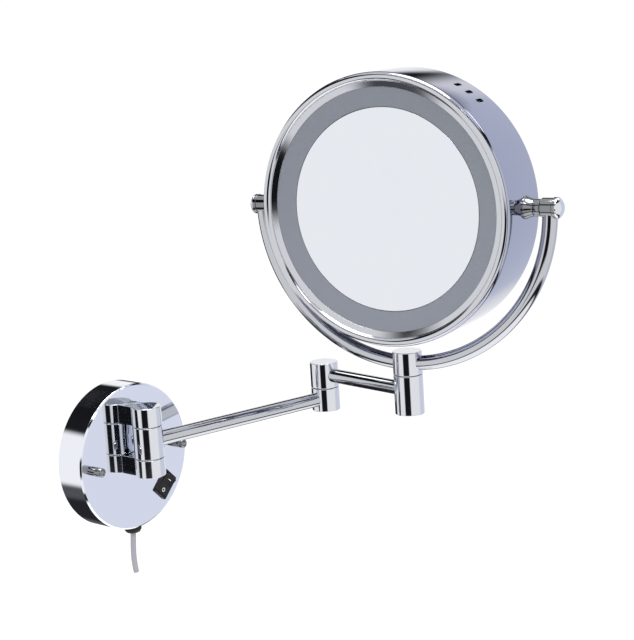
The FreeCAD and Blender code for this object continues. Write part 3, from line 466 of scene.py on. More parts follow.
def ring_tree():
    """Copies of one object round a ring: copy k stands at the first angle plus k steps."""
    name = "Copies round a ring"
    if name in bpy.data.node_groups:
        return bpy.data.node_groups[name]
    tree = bpy.data.node_groups.new(name, "GeometryNodeTree")
    face = tree.interface
    face.new_socket("Unit", in_out="INPUT", socket_type="NodeSocketObject")
    face.new_socket("Count", in_out="INPUT", socket_type="NodeSocketInt")
    face.new_socket("Radius", in_out="INPUT", socket_type="NodeSocketFloat")
    face.new_socket("First angle", in_out="INPUT", socket_type="NodeSocketFloat")
    face.new_socket("Step", in_out="INPUT", socket_type="NodeSocketFloat")
    face.new_socket("Material", in_out="INPUT", socket_type="NodeSocketMaterial")
    face.new_socket("Geometry", in_out="OUTPUT", socket_type="NodeSocketGeometry")
    nodes, links = tree.nodes, tree.links
    given = nodes.new("NodeGroupInput")
    result = nodes.new("NodeGroupOutput")
    points = nodes.new("GeometryNodePoints")
    index = nodes.new("GeometryNodeInputIndex")
    turn = nodes.new("ShaderNodeMath")
    turn.operation = "MULTIPLY_ADD"
    across, along = nodes.new("ShaderNodeMath"), nodes.new("ShaderNodeMath")
    across.operation, along.operation = "COSINE", "SINE"
    spot = nodes.new("ShaderNodeCombineXYZ")
    scaled = nodes.new("ShaderNodeVectorMath")
    scaled.operation = "SCALE"
    facing = nodes.new("ShaderNodeCombineXYZ")
    unit = nodes.new("GeometryNodeObjectInfo")
    copies = nodes.new("GeometryNodeInstanceOnPoints")
    real = nodes.new("GeometryNodeRealizeInstances")
    paint = nodes.new("GeometryNodeSetMaterial")
    links.new(given.outputs["Count"], points.inputs["Count"])
    links.new(index.outputs["Index"], turn.inputs[0])
    links.new(given.outputs["Step"], turn.inputs[1])
    links.new(given.outputs["First angle"], turn.inputs[2])
    links.new(turn.outputs[0], across.inputs[0])
    links.new(turn.outputs[0], along.inputs[0])
    links.new(across.outputs[0], spot.inputs["X"])
    links.new(along.outputs[0], spot.inputs["Y"])
    links.new(spot.outputs[0], scaled.inputs[0])
    links.new(given.outputs["Radius"], scaled.inputs["Scale"])
    links.new(scaled.outputs[0], points.inputs["Position"])
    links.new(turn.outputs[0], facing.inputs["Z"])
    links.new(given.outputs["Unit"], unit.inputs["Object"])
    links.new(points.outputs[0], copies.inputs["Points"])
    links.new(unit.outputs["Geometry"], copies.inputs["Instance"])
    links.new(facing.outputs[0], copies.inputs["Rotation"])
    links.new(copies.outputs[0], real.inputs[0])
    links.new(real.outputs[0], paint.inputs["Geometry"])
    links.new(given.outputs["Material"], paint.inputs["Material"])
    links.new(paint.outputs[0], result.inputs[0])
    return tree


def round_the_ring(unit, count, radius, first, step, material, stand):
    """One mesh of the unit mesh repeated round a ring, stood in place."""
    helper = bpy.data.objects.new("unit", unit)
    base = bpy.data.objects.new("ring", bpy.data.meshes.new("ring"))
    for item in (helper, base):
        bpy.context.scene.collection.objects.link(item)
    tree = ring_tree()
    named = {item.name: item.identifier for item in tree.interface.items_tree if item.in_out == "INPUT"}
    copies = base.modifiers.new("copies", "NODES")
    copies.node_group = tree
    values = {"Unit": helper, "Count": count, "Radius": radius, "First angle": first, "Step": step,
              "Material": material}
    for name, value in values.items():
        copies[named[name]] = value
    mesh = plain(base, [helper])
    mesh.transform(stand)
    return mesh


# ---------------------------------------------------------------- finishes

def surface(name, tint, rough, metal=0.0, spread=0.0, scale=200.0, bump=0.0, bump_scale=400.0, mottle=0.0,
            stretch=(1.0, 1.0, 1.0), **extra):
    """A finish whose roughness, relief and tone vary a little over the piece."""
    if name in bpy.data.materials and bpy.data.materials[name].get("mirror_finish"):
        return bpy.data.materials[name]
    material = bpy.data.materials.new(name)
    material["mirror_finish"] = True
    material.use_nodes = True
    nodes, links = material.node_tree.nodes, material.node_tree.links
    shader = nodes["Principled BSDF"]
    shader.inputs["Metallic"].default_value = metal
    shader.inputs["Base Color"].default_value = (*tint, 1.0)
    shader.inputs["Roughness"].default_value = rough
    for socket, value in extra.items():
        shader.inputs[socket.replace("_", " ")].default_value = value
    where = nodes.new("ShaderNodeTexCoord")
    scaled = nodes.new("ShaderNodeMapping")
    scaled.inputs["Scale"].default_value = stretch
    links.new(where.outputs["Object"], scaled.inputs["Vector"])
    if spread > 0.0:
        cloud = nodes.new("ShaderNodeTexNoise")
        cloud.inputs["Scale"].default_value = scale
        cloud.inputs["Detail"].default_value = 5.0
        span = nodes.new("ShaderNodeMapRange")
        span.inputs["From Min"].default_value = 0.35
        span.inputs["From Max"].default_value = 0.7
        span.inputs["To Min"].default_value = max(rough - spread, 0.0)
        span.inputs["To Max"].default_value = rough + spread
        links.new(scaled.outputs[0], cloud.inputs["Vector"])
        links.new(cloud.outputs["Fac"], span.inputs["Value"])
        links.new(span.outputs["Result"], shader.inputs["Roughness"])
    if mottle > 0.0:
        patch = nodes.new("ShaderNodeTexNoise")
        patch.inputs["Scale"].default_value = scale * 0.35
        patch.inputs["Detail"].default_value = 3.0
        shade = nodes.new("ShaderNodeMix")
        shade.data_type = "RGBA"
        shade.inputs["A"].default_value = (*[c * (1.0 - mottle) for c in tint], 1.0)
        shade.inputs["B"].default_value = (*[min(c * (1.0 + mottle), 1.0) for c in tint], 1.0)
        links.new(scaled.outputs[0], patch.inputs["Vector"])
        links.new(patch.outputs["Fac"], shade.inputs["Factor"])
        links.new(shade.outputs["Result"], shader.inputs["Base Color"])
    if bump > 0.0:
        grain = nodes.new("ShaderNodeTexNoise")
        grain.inputs["Scale"].default_value = bump_scale
        grain.inputs["Detail"].default_value = 3.0
        relief = nodes.new("ShaderNodeBump")
        relief.inputs["Strength"].default_value = bump
        relief.inputs["Distance"].default_value = 0.05 * MM
        links.new(scaled.outputs[0], grain.inputs["Vector"])
        links.new(grain.outputs["Fac"], relief.inputs["Height"])
        links.new(relief.outputs["Normal"], shader.inputs["Normal"])
    return material


def finish(slot):
    """The finish for one of the part's material slots, or for the small turned parts."""
    tone = bpy.context.scene.mirror_finish
    chrome, rough = tuple(tone.chrome), tone.chrome_rough
    # Painted shade: darker copies of the one chrome for the barrels, small parts, tubes and bezels.
    barrel = tuple(c * tone.barrel_share for c in chrome)
    small = tuple(c * tone.small_painted_shade_share for c in chrome)
    tube = tuple(c * tone.tube_painted_shade_share for c in chrome)
    bezel = tuple(c * tone.bezel_painted_shade_share for c in chrome)
    # Each row: name, tint, roughness, metal, roughness spread, its scale, relief, its scale, mottle.
    rows = {
        "cover_chrome": ("chrome cover", chrome, rough * 0.7, 1.0, rough * 0.3, 60.0, 0.05, 90.0),
        # The barrel, small part, tube and bezel rows hold chrome painted darker than the cover: painted shade.
        "barrel_chrome": ("chrome barrels", barrel, rough, 1.0, rough * 0.5, 160.0, 0.08, 220.0),
        "small_chrome": ("chrome small parts with painted shade", small, rough, 1.0, rough * 0.5, 160.0, 0.08, 220.0),
        "tube_chrome": ("chrome tubes with painted shade", tube, rough, 1.0, rough * 0.5, 120.0, 0.1, 160.0),
        # The drum row holds chrome painted darker and bluer than the cover: painted shade.
        "drum_chrome": ("chrome drum with painted shade", tuple(tone.drum), rough * 1.2, 1.0, rough * 0.6, 50.0, 0.08, 60.0),
        "bezel_chrome": ("chrome bezels with painted shade", bezel, rough * 1.4, 1.0, rough * 0.6, 90.0, 0.06, 120.0),
        "plated_steel": ("zinc plated steel", tuple(tone.steel), 0.34, 1.0, 0.05, 120.0, 0.12, 900.0, 0.03),
        "switch_plastic": ("black housing", tuple(tone.black), 0.38, 0.0, 0.08, 400.0, 0.5, 1800.0, 0.1),
        "rocker_plastic": ("black rocker", tuple(tone.black), 0.2, 0.0, 0.05, 300.0, 0.12, 900.0, 0.05),
        "terminal_brass": ("brass", (0.62, 0.43, 0.16), 0.28, 1.0, 0.08, 300.0, 0.2, 700.0, 0.08),
        "grommet_rubber": ("rubber", tuple(tone.rubber), 0.62, 0.0, 0.1, 350.0, 0.6, 1500.0, 0.12),
        "cord_sheath": ("cord sheath", tuple(tone.sheath), 0.42, 0.0, 0.07, 260.0, 0.25, 1200.0, 0.04),
        "lead_sheath": ("lead sheath", (0.6, 0.6, 0.58), 0.45, 0.0, 0.06, 260.0, 0.2, 1200.0, 0.04),
        "case_plastic": ("white case", (0.72, 0.72, 0.7), 0.48, 0.0, 0.07, 250.0, 0.35, 1400.0, 0.03),
        "washer_nylon": ("black nylon", (0.02, 0.02, 0.021), 0.5, 0.0, 0.07, 300.0, 0.3, 1200.0, 0.08),
        "tray_plastic": ("white tray", (0.78, 0.78, 0.77), 0.3, 0.0, 0.06, 200.0, 0.2, 900.0, 0.02),
        "frosted_ring": ("frosted acrylic", tuple(tone.ring), 0.36, 0.0, 0.05, 220.0, 0.25, 1600.0, 0.02),
        "lamp_board": ("lamp board", (0.7, 0.71, 0.68), 0.4, 0.0, 0.06, 260.0, 0.2, 1100.0, 0.03),
        "lamp": ("lamp", (0.85, 0.7, 0.25), 0.25, 0.0, 0.05, 500.0, 0.1, 1500.0, 0.04),
        "mirror_glass": ("silvered glass", tuple(tone.silver), 0.012, 1.0, 0.006, 40.0),
    }
    dull = {"Specular_IOR_Level": 0.2}
    extras = {
        "switch_plastic": dull,
        "rocker_plastic": dull,
        "grommet_rubber": dull,
        "frosted_ring": {"Subsurface_Weight": 0.25, "Subsurface_Radius": (0.002, 0.002, 0.002), "IOR": 1.49},
        "lamp": {"Coat_Weight": 0.6, "Coat_Roughness": 0.08},
        "mirror_glass": {"Coat_Weight": 1.0, "Coat_Roughness": 0.01},
    }
    if slot not in rows:
        raise ValueError("no finish for the slot " + slot)
    return surface(*rows[slot], **extras.get(slot, {}))


# ---------------------------------------------------------------- the pieces, group by group

class MIRROR_OT_cover(bpy.types.Operator):
    """Dished wall cover, cap nuts, cord grommet"""
    bl_idname = "mirror.cover"
    bl_label = "Wall cover"

    def execute(self, context):
        scene = context.scene
        cover, switch = scene.mirror_cover, scene.mirror_switch
        rim, wall, face, cut = cover.radius, cover.wall, -cover.depth, cover.chamfer
        shell = spun([
            (rim - wall, 0.0, 0.2 * MM), (rim - wall, face + wall, 0.8 * MM), (0.0, face + wall, 0.0),
            (0.0, face, 0.0), (rim - cut, face, 0.3 * MM), (rim, face + cut, 0.3 * MM),
            (rim, 0.0, 0.2 * MM)], TO_Y, steps=256)
        flat = switch_place(scene) @ Matrix.Rotation(math.pi / 2, 4, "X")
        opening = plate_shape(box_corners(switch.long - 2 * switch.step, switch.short - 2 * switch.step,
                                          0.4 * MM), -4 * MM, 4 * MM, flat)
        exit_hole = spun([(0.0, -4 * MM, 0.0), (cover.grommet_neck, -4 * MM, 0.0),
                          (cover.grommet_neck, 4 * MM, 0.0), (0.0, 4 * MM, 0.0)],
                         Matrix.Translation((0.0, -cover.cord_out, -cover.radius)), steps=48)
        shell = combined(shell, [opening, exit_hole], "DIFFERENCE")
        finished("wall_cover_shell", shell, finish("cover_chrome"), "wall_base",
                 ["wall_cover"], math.radians(32))

        radius, height = cover.nut_radius, cover.nut_height
        shoulder = (radius, height - radius * 0.5)
        dome = arc(shoulder, (0.0, height), radius * 1.25, 1, 14)
        nut = spun([(0.0, height, 0.0), (0.0, height / 2, 0.0), (cover.stud_radius, height / 2, 0.1 * MM),
                    (cover.stud_radius, 0.0, 0.1 * MM), (radius, 0.0, 0.25 * MM), (*shoulder, 0.0), *dome],
                   Matrix.Identity(4), steps=64)
        front = Matrix.Translation((0.0, -cover.depth, 0.0)) @ Matrix.Rotation(math.pi / 2, 4, "X")
        nuts = round_the_ring(nut, cover.nut_count, cover.radius - cover.nut_inset, 0.0,
                              2 * math.pi / cover.nut_count, finish("small_chrome"), front)
        finished("cap_nut_pair", nuts, finish("small_chrome"), "wall_base", ["cap_nuts"])

        flange, neck, high = cover.grommet_radius, cover.grommet_neck, cover.grommet_height
        inside = cover.wall + 0.4 * MM
        rubber = spun([
            (cover.cord_radius, -high, 0.3 * MM), (flange * 0.8, -high, 0.5 * MM),
            (flange, -high * 0.6, 0.5 * MM), (flange, 0.0, 0.3 * MM), (neck, 0.0, 0.1 * MM),
            (neck, inside, 0.1 * MM), (flange * 0.77, inside, 0.3 * MM),
            (flange * 0.77, inside + 1.5 * MM, 0.4 * MM), (cover.cord_radius, inside + 1.5 * MM, 0.3 * MM)],
            Matrix.Translation((0.0, -cover.cord_out, -cover.radius)), steps=96)
        finished("grommet", rubber, finish("grommet_rubber"), "wall_base",
                 ["cord_grommet"])
        return {"FINISHED"}


class MIRROR_OT_cord(bpy.types.Operator):
    """Short tail of power cord under the cover"""
    bl_idname = "mirror.cord"
    bl_label = "Cord"

    def execute(self, context):
        cover = context.scene.mirror_cover
        route = [(0.0, -0.0162, -0.0644), (-0.0008, -0.0162, -0.0724), (-0.0016, -0.0162, -0.0814),
                 (-0.0015, -0.0162, -0.0904), (-0.0002, -0.0162, -0.0987)]
        line = bpy.data.curves.new("cord_tail", "CURVE")
        line.dimensions = "3D"
        line.resolution_u = 24
        line.bevel_depth = cover.cord_radius
        line.bevel_resolution = 12
        line.use_fill_caps = True
        spline = line.splines.new("NURBS")
        spline.points.add(len(route) - 1)
        for point, spot in zip(spline.points, route):
            point.co = (*spot, 1.0)
        spline.order_u = 3
        spline.use_endpoint_u = True
        cord = bpy.data.objects.new("cord_tail", line)
        context.scene.collection.objects.link(cord)
        line.materials.append(finish("cord_sheath"))
        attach(cord, "wall_base")
        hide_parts("power_cord")
        return {"FINISHED"}


class MIRROR_OT_switch(bpy.types.Operator):
    """Black switch: housing, rocker and its two marks"""
    bl_idname = "mirror.switch"
    bl_label = "Switch"

    def execute(self, context):
        scene = context.scene
        switch = scene.mirror_switch
        stand = switch_place(scene)
        flat = stand @ Matrix.Rotation(math.pi / 2, 4, "X")
        flange = plate_shape(box_corners(switch.long, switch.short, 1.0 * MM), 0.0, switch.flange, flat,
                             edge=0.45 * MM)
        trunk = plate_shape(box_corners(switch.long - 2 * switch.step, switch.short - 2 * switch.step,
                                        0.4 * MM), -switch.body, 0.5 * MM, flat)
        well = plate_shape(box_corners(switch.rocker_long + 5.2 * switch.gap,
                                       switch.rocker_short + 2 * switch.gap, 0.3 * MM),
                           -5 * MM, switch.flange * 2, flat)
        case = combined(flange, [trunk], "UNION")
        case = combined(case, [well], "DIFFERENCE")
        finished("switch_case", case, finish("switch_plastic"), "wall_base",
                 ["switch_housing"], math.radians(30))

        pivot = -0.5 * MM
        half = switch.rocker_long / 2
        top = -switch.flange - 0.2 * MM - pivot
        wing = top - half * math.tan(switch.throw)
        swing = stand @ Matrix.Translation((0.0, pivot, 0.0)) @ Matrix.Rotation(-switch.throw, 4, "Z")
        rocker = plate_shape([
            (0.0, top, 2.0 * MM), (-half, wing, 0.5 * MM), (0.9 * MM - half, 2.8 * MM, 0.3 * MM),
            (half - 0.9 * MM, 2.8 * MM, 0.3 * MM), (half, wing, 0.5 * MM)],
            -switch.rocker_short / 2, switch.rocker_short / 2, swing, edge=0.3 * MM)
        finished("rocker_key", rocker, finish("rocker_plastic"), "rocker",
                 ["switch_rocker"], math.radians(30))

        paint = surface("white mark", (0.8, 0.8, 0.79), 0.4, 0.0, 0.05, 500.0, 0.1, 1500.0, 0.02)
        spot = half * 0.56
        rise = top - spot * math.tan(switch.throw)
        up = Matrix.Rotation(math.pi / 2, 4, "X")
        off = swing @ Matrix.Translation((-spot, rise, 0.0)) @ Matrix.Rotation(switch.throw, 4, "Z") @ up
        on = swing @ Matrix.Translation((spot, rise, 0.0)) @ Matrix.Rotation(-switch.throw, 4, "Z") @ up
        thin = 0.05 * MM
        ring = spun([(1.15 * MM, -thin, 0.0), (1.65 * MM, -thin, 0.0), (1.65 * MM, thin, 0.0),
                     (1.15 * MM, thin, 0.0)], off, steps=64)
        bar = plate_shape(box_corners(0.5 * MM, 3.3 * MM, 0.1 * MM), -thin, thin, on)
        finished("mark_off", ring, paint, "rocker", sharp=math.radians(30))
        finished("mark_on", bar, paint, "rocker", sharp=math.radians(30))
        return {"FINISHED"}


class MIRROR_OT_hinges(bpy.types.Operator):
    """Three round hinges: barrels, necks and parting lines"""
    bl_idname = "mirror.hinges"
    bl_label = "Hinges"

    def barrel(self, scene, name, node, body, spot, low, high, bore, floor=None, roof=None):
        arms = scene.mirror_arms
        out, edge = arms.barrel, arms.edge
        corners = [(bore, low, 0.1 * MM), (out, low, edge), (out, high, edge), (bore, high, 0.1 * MM)]
        if floor is not None:
            corners[0:1] = [(bore, floor, 0.1 * MM), (0.0, floor, 0.0), (0.0, low, 0.0)]
        if roof is not None:
            corners[-1:] = [(0.0, high, 0.0), (0.0, roof, 0.0), (bore, roof, 0.1 * MM)]
        mesh = spun(corners, place(spot.x, spot.y, 0.0), rounding=7)
        return finished(name, mesh, finish("barrel_chrome"), body, [node])

    def execute(self, context):
        scene = context.scene
        arms, fork = scene.mirror_arms, scene.mirror_fork
        half = arms.gap / 2
        tight, loose = arms.pin, arms.pin + arms.play
        spot = first_axis(scene)
        ends = {
            "lower": (arms.first_low, arms.first_under - half, arms.first_low + arms.metal, None),
            "upper": (arms.first_over + half, arms.first_high, None, arms.first_high - arms.metal),
        }
        for side, (low, high, floor, roof) in ends.items():
            self.barrel(scene, f"lug_{side}_barrel", f"knuckle_{side}_lug", "wall_base", spot, low, high,
                        tight, floor, roof)
            near, far = arms.pin + 1.5 * MM, arms.reach
            wide = arms.neck / 2
            neck = plate_shape([(-wide, near, 0.3 * MM), (wide, near, 0.3 * MM), (wide, far, 0.0),
                                (-wide, far, 0.0)], low + 0.03 * MM, high - 0.03 * MM,
                               place(spot.x, spot.y, 0.0), edge=0.4 * MM)
            finished(f"lug_{side}_neck", neck, finish("barrel_chrome"), "wall_base",
                     sharp=math.radians(30))
        self.barrel(scene, "sleeve_barrel", "knuckle_sleeve", "long_arm", spot,
                    arms.first_under + half, arms.first_over - half, loose)
        spot = second_axis(scene)
        self.barrel(scene, "elbow_lower_barrel", "elbow_lower", "long_arm", spot, arms.second_low,
                    arms.second_line - half, tight, floor=arms.second_low + arms.metal)
        self.barrel(scene, "elbow_upper_barrel", "elbow_upper", "short_arm", spot,
                    arms.second_line + half, arms.second_high, loose, roof=arms.second_high - arms.metal)
        spot = third_axis(scene)
        self.barrel(scene, "hub_lower_barrel", "hub_lower", "short_arm", spot, arms.third_low,
                    arms.third_line - half, loose, floor=arms.third_low + arms.metal)
        self.barrel(scene, "hub_upper_barrel", "hub_upper", "fork", spot, arms.third_line + half,
                    arms.third_high, tight, roof=fork.level - fork.tube - 0.5 * MM)
        return {"FINISHED"}


class MIRROR_OT_arms(bpy.types.Operator):
    """The long and the short arm tube"""
    bl_idname = "mirror.arms"
    bl_label = "Arms"

    def execute(self, context):
        scene = context.scene
        arms = scene.mirror_arms
        runs = {
            "long_arm": (first_axis(scene), arms.long_angle, arms.long_length, arms.long_level),
            "short_arm": (second_axis(scene), arms.short_angle, arms.short_length, arms.short_level),
        }
        inner, outer = arms.tube - arms.tube_wall, arms.tube
        for name, (spot, turn, reach, level) in runs.items():
            stop = reach - arms.seat
            tube = spun([(inner, arms.seat, 0.2 * MM), (outer, arms.seat, 0.3 * MM),
                         (outer, stop, 0.3 * MM), (inner, stop, 0.2 * MM)],
                        place(spot.x, spot.y, level, turn) @ TO_X, steps=96)
            finished(name + "_bar", tube, finish("tube_chrome"), name, [name + "_tube"])
        return {"FINISHED"}


class MIRROR_OT_fork(bpy.types.Operator):
    """Bent fork tube with its two ends and domed caps"""
    bl_idname = "mirror.fork"
    bl_label = "Fork"

    def execute(self, context):
        scene = context.scene
        fork, head = scene.mirror_fork, scene.mirror_head
        radius = fork_radius(scene)
        stand = head_place(scene)
        seat = math.asin(fork.seat / radius)
        steps = 200
        turns = [-seat - (math.pi - 2 * seat) * k / steps for k in range(steps + 1)]
        line = [stand @ Vector((radius * math.cos(t), 0.0, radius * math.sin(t))) for t in turns]
        finished("fork_bar", swept(line, fork.tube), finish("tube_chrome"), "fork",
                 ["yoke_tube"], math.radians(40))

        collar = head.radius + fork.boss_length + fork.tilt_gap
        start, stop = collar + fork.collar, radius + fork.tube + 0.3 * MM
        lip = stop - fork.lip_length
        for side, turned in (("right", False), ("left", True)):
            stand = head_place(scene, turned) @ TO_X
            end = spun([
                (fork.axle, collar, 0.1 * MM), (fork.waist, collar, 0.4 * MM), (fork.waist, start, 0.4 * MM),
                (fork.end, start + 1.2 * MM, 0.5 * MM), (fork.end, lip - 0.4 * MM, 0.1 * MM),
                (fork.end - 0.3 * MM, lip - 0.2 * MM, 0.05 * MM), (fork.lip, lip, 0.25 * MM),
                (fork.lip, stop, 0.15 * MM), (fork.axle, stop, 0.1 * MM)], stand, steps=128)
            finished(f"{side}_end_barrel", end, finish("small_chrome"), "fork",
                     [f"{side}_fork_end"])
            low = stop - fork.plug
            edge, crown = (fork.lip, stop + 1.0 * MM), (0.0, stop + fork.cap)
            cap = spun([
                (0.0, low, 0.0), (fork.axle, low, 0.2 * MM), (fork.axle, stop, 0.1 * MM),
                (fork.lip, stop, 0.15 * MM), (*edge, 0.0), *arc(edge, crown, fork.lip * 1.3, 1, 20),
                (*crown, 0.0)], stand, steps=128)
            finished(f"{side}_dome", cap, finish("barrel_chrome"), "fork",
                     [f"{side}_pivot_cap"])
        return {"FINISHED"}


class MIRROR_OT_drum(bpy.types.Operator):
    """Drum with its vent slots and the two flared tilt bosses"""
    bl_idname = "mirror.drum"
    bl_label = "Drum"

    def execute(self, context):
        scene = context.scene
        fork, head = scene.mirror_fork, scene.mirror_head
        stand = head_place(scene) @ TO_Y
        out, inner, run = head.radius, head.radius - head.wall, head.shoulder_run
        front, back = head.line / 2 - head.front, head.back - head.line / 2
        fore, rear = head.tray_seat - head.front, head.back - head.tray_seat
        bead, thick = inner - head.bead, head.bead_thick
        a, b = (out - head.shoulder, front), (out, front + run)
        c, d = (out, back - run), (out - head.shoulder, back)
        drum = spun([
            (inner, front, 0.2 * MM), (*a, 0.15 * MM), *arc(a, b, run * 1.6, 1, 8), (*b, 0.0), (*c, 0.0),
            *arc(c, d, run * 1.6, 1, 8), (*d, 0.15 * MM), (inner, back, 0.2 * MM), (inner, rear, 0.2 * MM),
            (bead, rear, 0.2 * MM), (bead, rear - thick, 0.2 * MM), (inner, rear - thick, 0.2 * MM),
            (inner, fore + thick, 0.2 * MM), (bead, fore + thick, 0.2 * MM), (bead, fore, 0.2 * MM),
            (inner, fore, 0.2 * MM)], stand, steps=360, start=math.radians(0.5))
        half, side = head.vent_long / 2, head.vent_wide / 2
        slot = plate_shape([
            (head.vent_shift - half, -side, side * 0.98), (head.vent_shift + half, -side, side * 0.98),
            (head.vent_shift + half, side, side * 0.98), (head.vent_shift - half, side, side * 0.98)],
            -8 * MM, 8 * MM, Matrix.Rotation(-math.pi / 2, 4, "Y"))
        slots = round_the_ring(slot, head.vents, head.radius, -head.vent_bearing, head.vent_pitch,
                               finish("drum_chrome"), stand)
        hole = spun([(0.0, -out * 1.1, 0.0), (fork.spigot, -out * 1.1, 0.0), (fork.spigot, out * 1.1, 0.0),
                     (0.0, out * 1.1, 0.0)], head_place(scene) @ TO_X, steps=64)
        drum = combined(drum, [slots, hole], "DIFFERENCE")
        finished("drum_shell", drum, finish("drum_chrome"), "head", ["drum_housing"],
                 math.radians(32))

        rim, face = fork.boss + fork.boss_lip, head.radius + fork.boss_length
        edge = head.radius + fork.boss_rim
        low = head.radius - 0.6 * MM
        bore = fork.axle + scene.mirror_arms.play
        tail = inner - fork.spigot_length
        flare = arc((fork.boss, edge), (fork.waist, face), fork.boss_length * 2, -1, 12)
        for side, turned in (("right", False), ("left", True)):
            boss = spun([
                (bore, tail, 0.1 * MM), (fork.spigot, tail, 0.2 * MM), (fork.spigot, low, 0.1 * MM),
                (rim, low, 0.1 * MM), (rim, edge, 0.3 * MM), (fork.boss, edge, 0.05 * MM), *flare,
                (fork.waist, face, 0.3 * MM), (bore, face, 0.1 * MM)],
                head_place(scene, turned) @ TO_X, steps=128)
            finished(f"{side}_boss_flare", boss, finish("small_chrome"), "head",
                     [f"{side}_pivot_boss"])
        return {"FINISHED"}


class MIRROR_OT_faces(bpy.types.Operator):
    """Bezel, frosted light ring, lamps and glass on each side of the head"""
    bl_idname = "mirror.faces"
    bl_label = "Lit faces"

    def execute(self, context):
        scene = context.scene
        head = scene.mirror_head
        for name, turned, seat in (("front", False, head.front), ("rear", True, head.back)):
            self.side(scene, name, head_place(scene, turned) @ TO_Y, seat, hollow=turned)
        return {"FINISHED"}

    def side(self, scene, name, stand, seat, hollow):
        head = scene.mirror_head
        inner = head.radius - head.wall
        edge = head.radius - head.bezel_width
        glass = edge - head.band
        lip, fold = head.radius - head.shoulder, head.radius - head.bezel_fold
        top = -(seat + head.line / 2)
        ring_top = head.edge_depth - seat
        tray = head.tray_seat - head.bead_thick - seat
        a, b = (fold, head.fold_depth - seat), (lip, top)
        bezel = spun([
            (edge, ring_top, 0.15 * MM), (edge, ring_top - 0.5 * MM, 0.2 * MM), (*a, 0.25 * MM),
            *arc(a, b, head.bezel_arc, 1, 16), (*b, 0.12 * MM), (inner, top, 0.2 * MM),
            (inner, tray, 0.2 * MM), (inner - 2.2 * MM, tray, 0.2 * MM),
            (inner - 2.2 * MM, head.fold_depth - seat + 0.3 * MM, 0.2 * MM),
            (edge + 3.6 * MM, ring_top, 0.2 * MM)], stand, steps=360)
        finished(f"{name}_bezel_band", bezel, finish("bezel_chrome"), "head",
                 [f"{name}_bezel"])

        back = head.glass_depth + head.glass - seat
        face = head.glass_depth - seat
        ledge = ring_top + 2.6 * MM
        ring = spun([
            (glass + head.glass_gap, back, 0.1 * MM), (glass + head.glass_gap, face, 0.2 * MM),
            (edge - 0.2 * MM, ring_top, 0.15 * MM), (edge + 1.4 * MM, ring_top, 0.1 * MM),
            (edge + 1.4 * MM, ledge, 0.1 * MM), (edge - 0.6 * MM, ledge, 0.1 * MM)], stand, steps=256)
        finished(f"{name}_frosted_ring", ring, finish("frosted_ring"), "head",
                 [f"{name}_light_ring"])

        board = back + head.tray_depth - head.board
        case = plate_shape(box_corners(head.lamp_wide, head.lamp_long, 0.2 * MM), 0.0, head.lamp_high * 0.6,
                           Matrix.Rotation(math.pi, 4, "X"), edge=0.1 * MM)
        lens = plate_shape(box_corners(head.lamp_wide * 0.72, head.lamp_long * 0.76, 0.5 * MM),
                           head.lamp_high * 0.6, head.lamp_high, Matrix.Rotation(math.pi, 4, "X"),
                           edge=0.25 * MM)
        deep = stand @ Matrix.Translation((0.0, 0.0, board))
        for label, unit, slot, nodes in (("lamp_case", case, "lamp_board", []),
                                         ("lamp_lens", lens, "lamp", [f"{name}_lamps"])):
            mesh = round_the_ring(unit, head.lamps, (glass + edge) / 2, 0.0, 2 * math.pi / head.lamps,
                                  finish(slot), deep)
            finished(f"{name}_{label}", mesh, finish(slot), "head", nodes, math.radians(35))

        if hollow:
            flat = glass - 2.2 * MM
            fronts = arc((0.0, face + head.sag), (glass, face), self.dish(glass, head.sag), -1, 40)
            backs = arc((flat, back), (0.0, back + head.sag), self.dish(flat, head.sag), 1, 40)
            mirror = spun([
                (0.0, face + head.sag, 0.0), *fronts, (glass, face, 0.15 * MM), (glass, back, 0.2 * MM),
                (flat, back, 0.05 * MM), *backs, (0.0, back + head.sag, 0.0)], stand, steps=256)
            label, node = "magnifier_glass", "magnifying_mirror"
        else:
            mirror = spun([(0.0, face, 0.0), (glass, face, 0.4 * MM), (glass, back, 0.2 * MM),
                           (0.0, back, 0.0)], stand, steps=256)
            label, node = "plain_glass", "plain_mirror"
        finished(label, mirror, finish("mirror_glass"), "head", [node])

    def dish(self, rim, sag):
        return (rim ** 2 + sag ** 2) / (2 * sag)


class MIRROR_OT_inner(bpy.types.Operator):
    """Finishes of the inner parts: plate, studs, pins, leads, trays, boards"""
    bl_idname = "mirror.inner"
    bl_label = "Inner parts"

    def execute(self, context):
        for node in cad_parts.values():
            for index, old in enumerate(node.data.materials):
                node.data.materials[index] = finish(old.name.split(".")[0])
        return {"FINISHED"}


# ---------------------------------------------------------------- stage

# Middle of the round surround, and the point that the lights face, in metres.
MIDDLE = Vector((0.15, -0.15))
AIM = Vector((0.15, -0.15, 0.12))
FLOOR_RADIUS = 16.0
ROOM_COLUMNS, ROOM_ROWS = 360, 80

# Each soft light: its place, its width and its share of the key light's power.
LIGHTS = (
    ((-0.9, -1.5, 1.5), 1.1, 1.0),
    ((1.6, -0.9, 1.2), 0.9, 0.45),
    ((0.4, 1.6, 1.3), 1.0, 0.4),
    ((0.15, -0.15, 3.0), 2.0, 6.0),
)

# Each dark flag on the round surround: bearing, half width and soft edge in degrees, low and high edge in
# metres, and its shade.
FLAGS = (
    (-66, 19, 8, -0.55, 0.05, (0.01, 0.01, 0.012)),
    (157, 27, 9, -0.6, 0.1, (0.03, 0.03, 0.036)),
    (180, 62, 12, 0.7, 1.75, (0.012, 0.012, 0.015)),
    (180, 62, 12, -1.75, -0.75, (0.09, 0.09, 0.1)),
    (66, 26, 12, -2.2, 3.0, (0.76, 0.79, 0.89)),
    (0, 180, 1, 1.15, 1.75, (0.01, 0.01, 0.012)),
    (0, 180, 1, -1.75, -1.2, (0.02, 0.02, 0.024)),
)


def eased(value):
    value = min(max(value, 0.0), 1.0)
    return value * value * (3.0 - 2.0 * value)


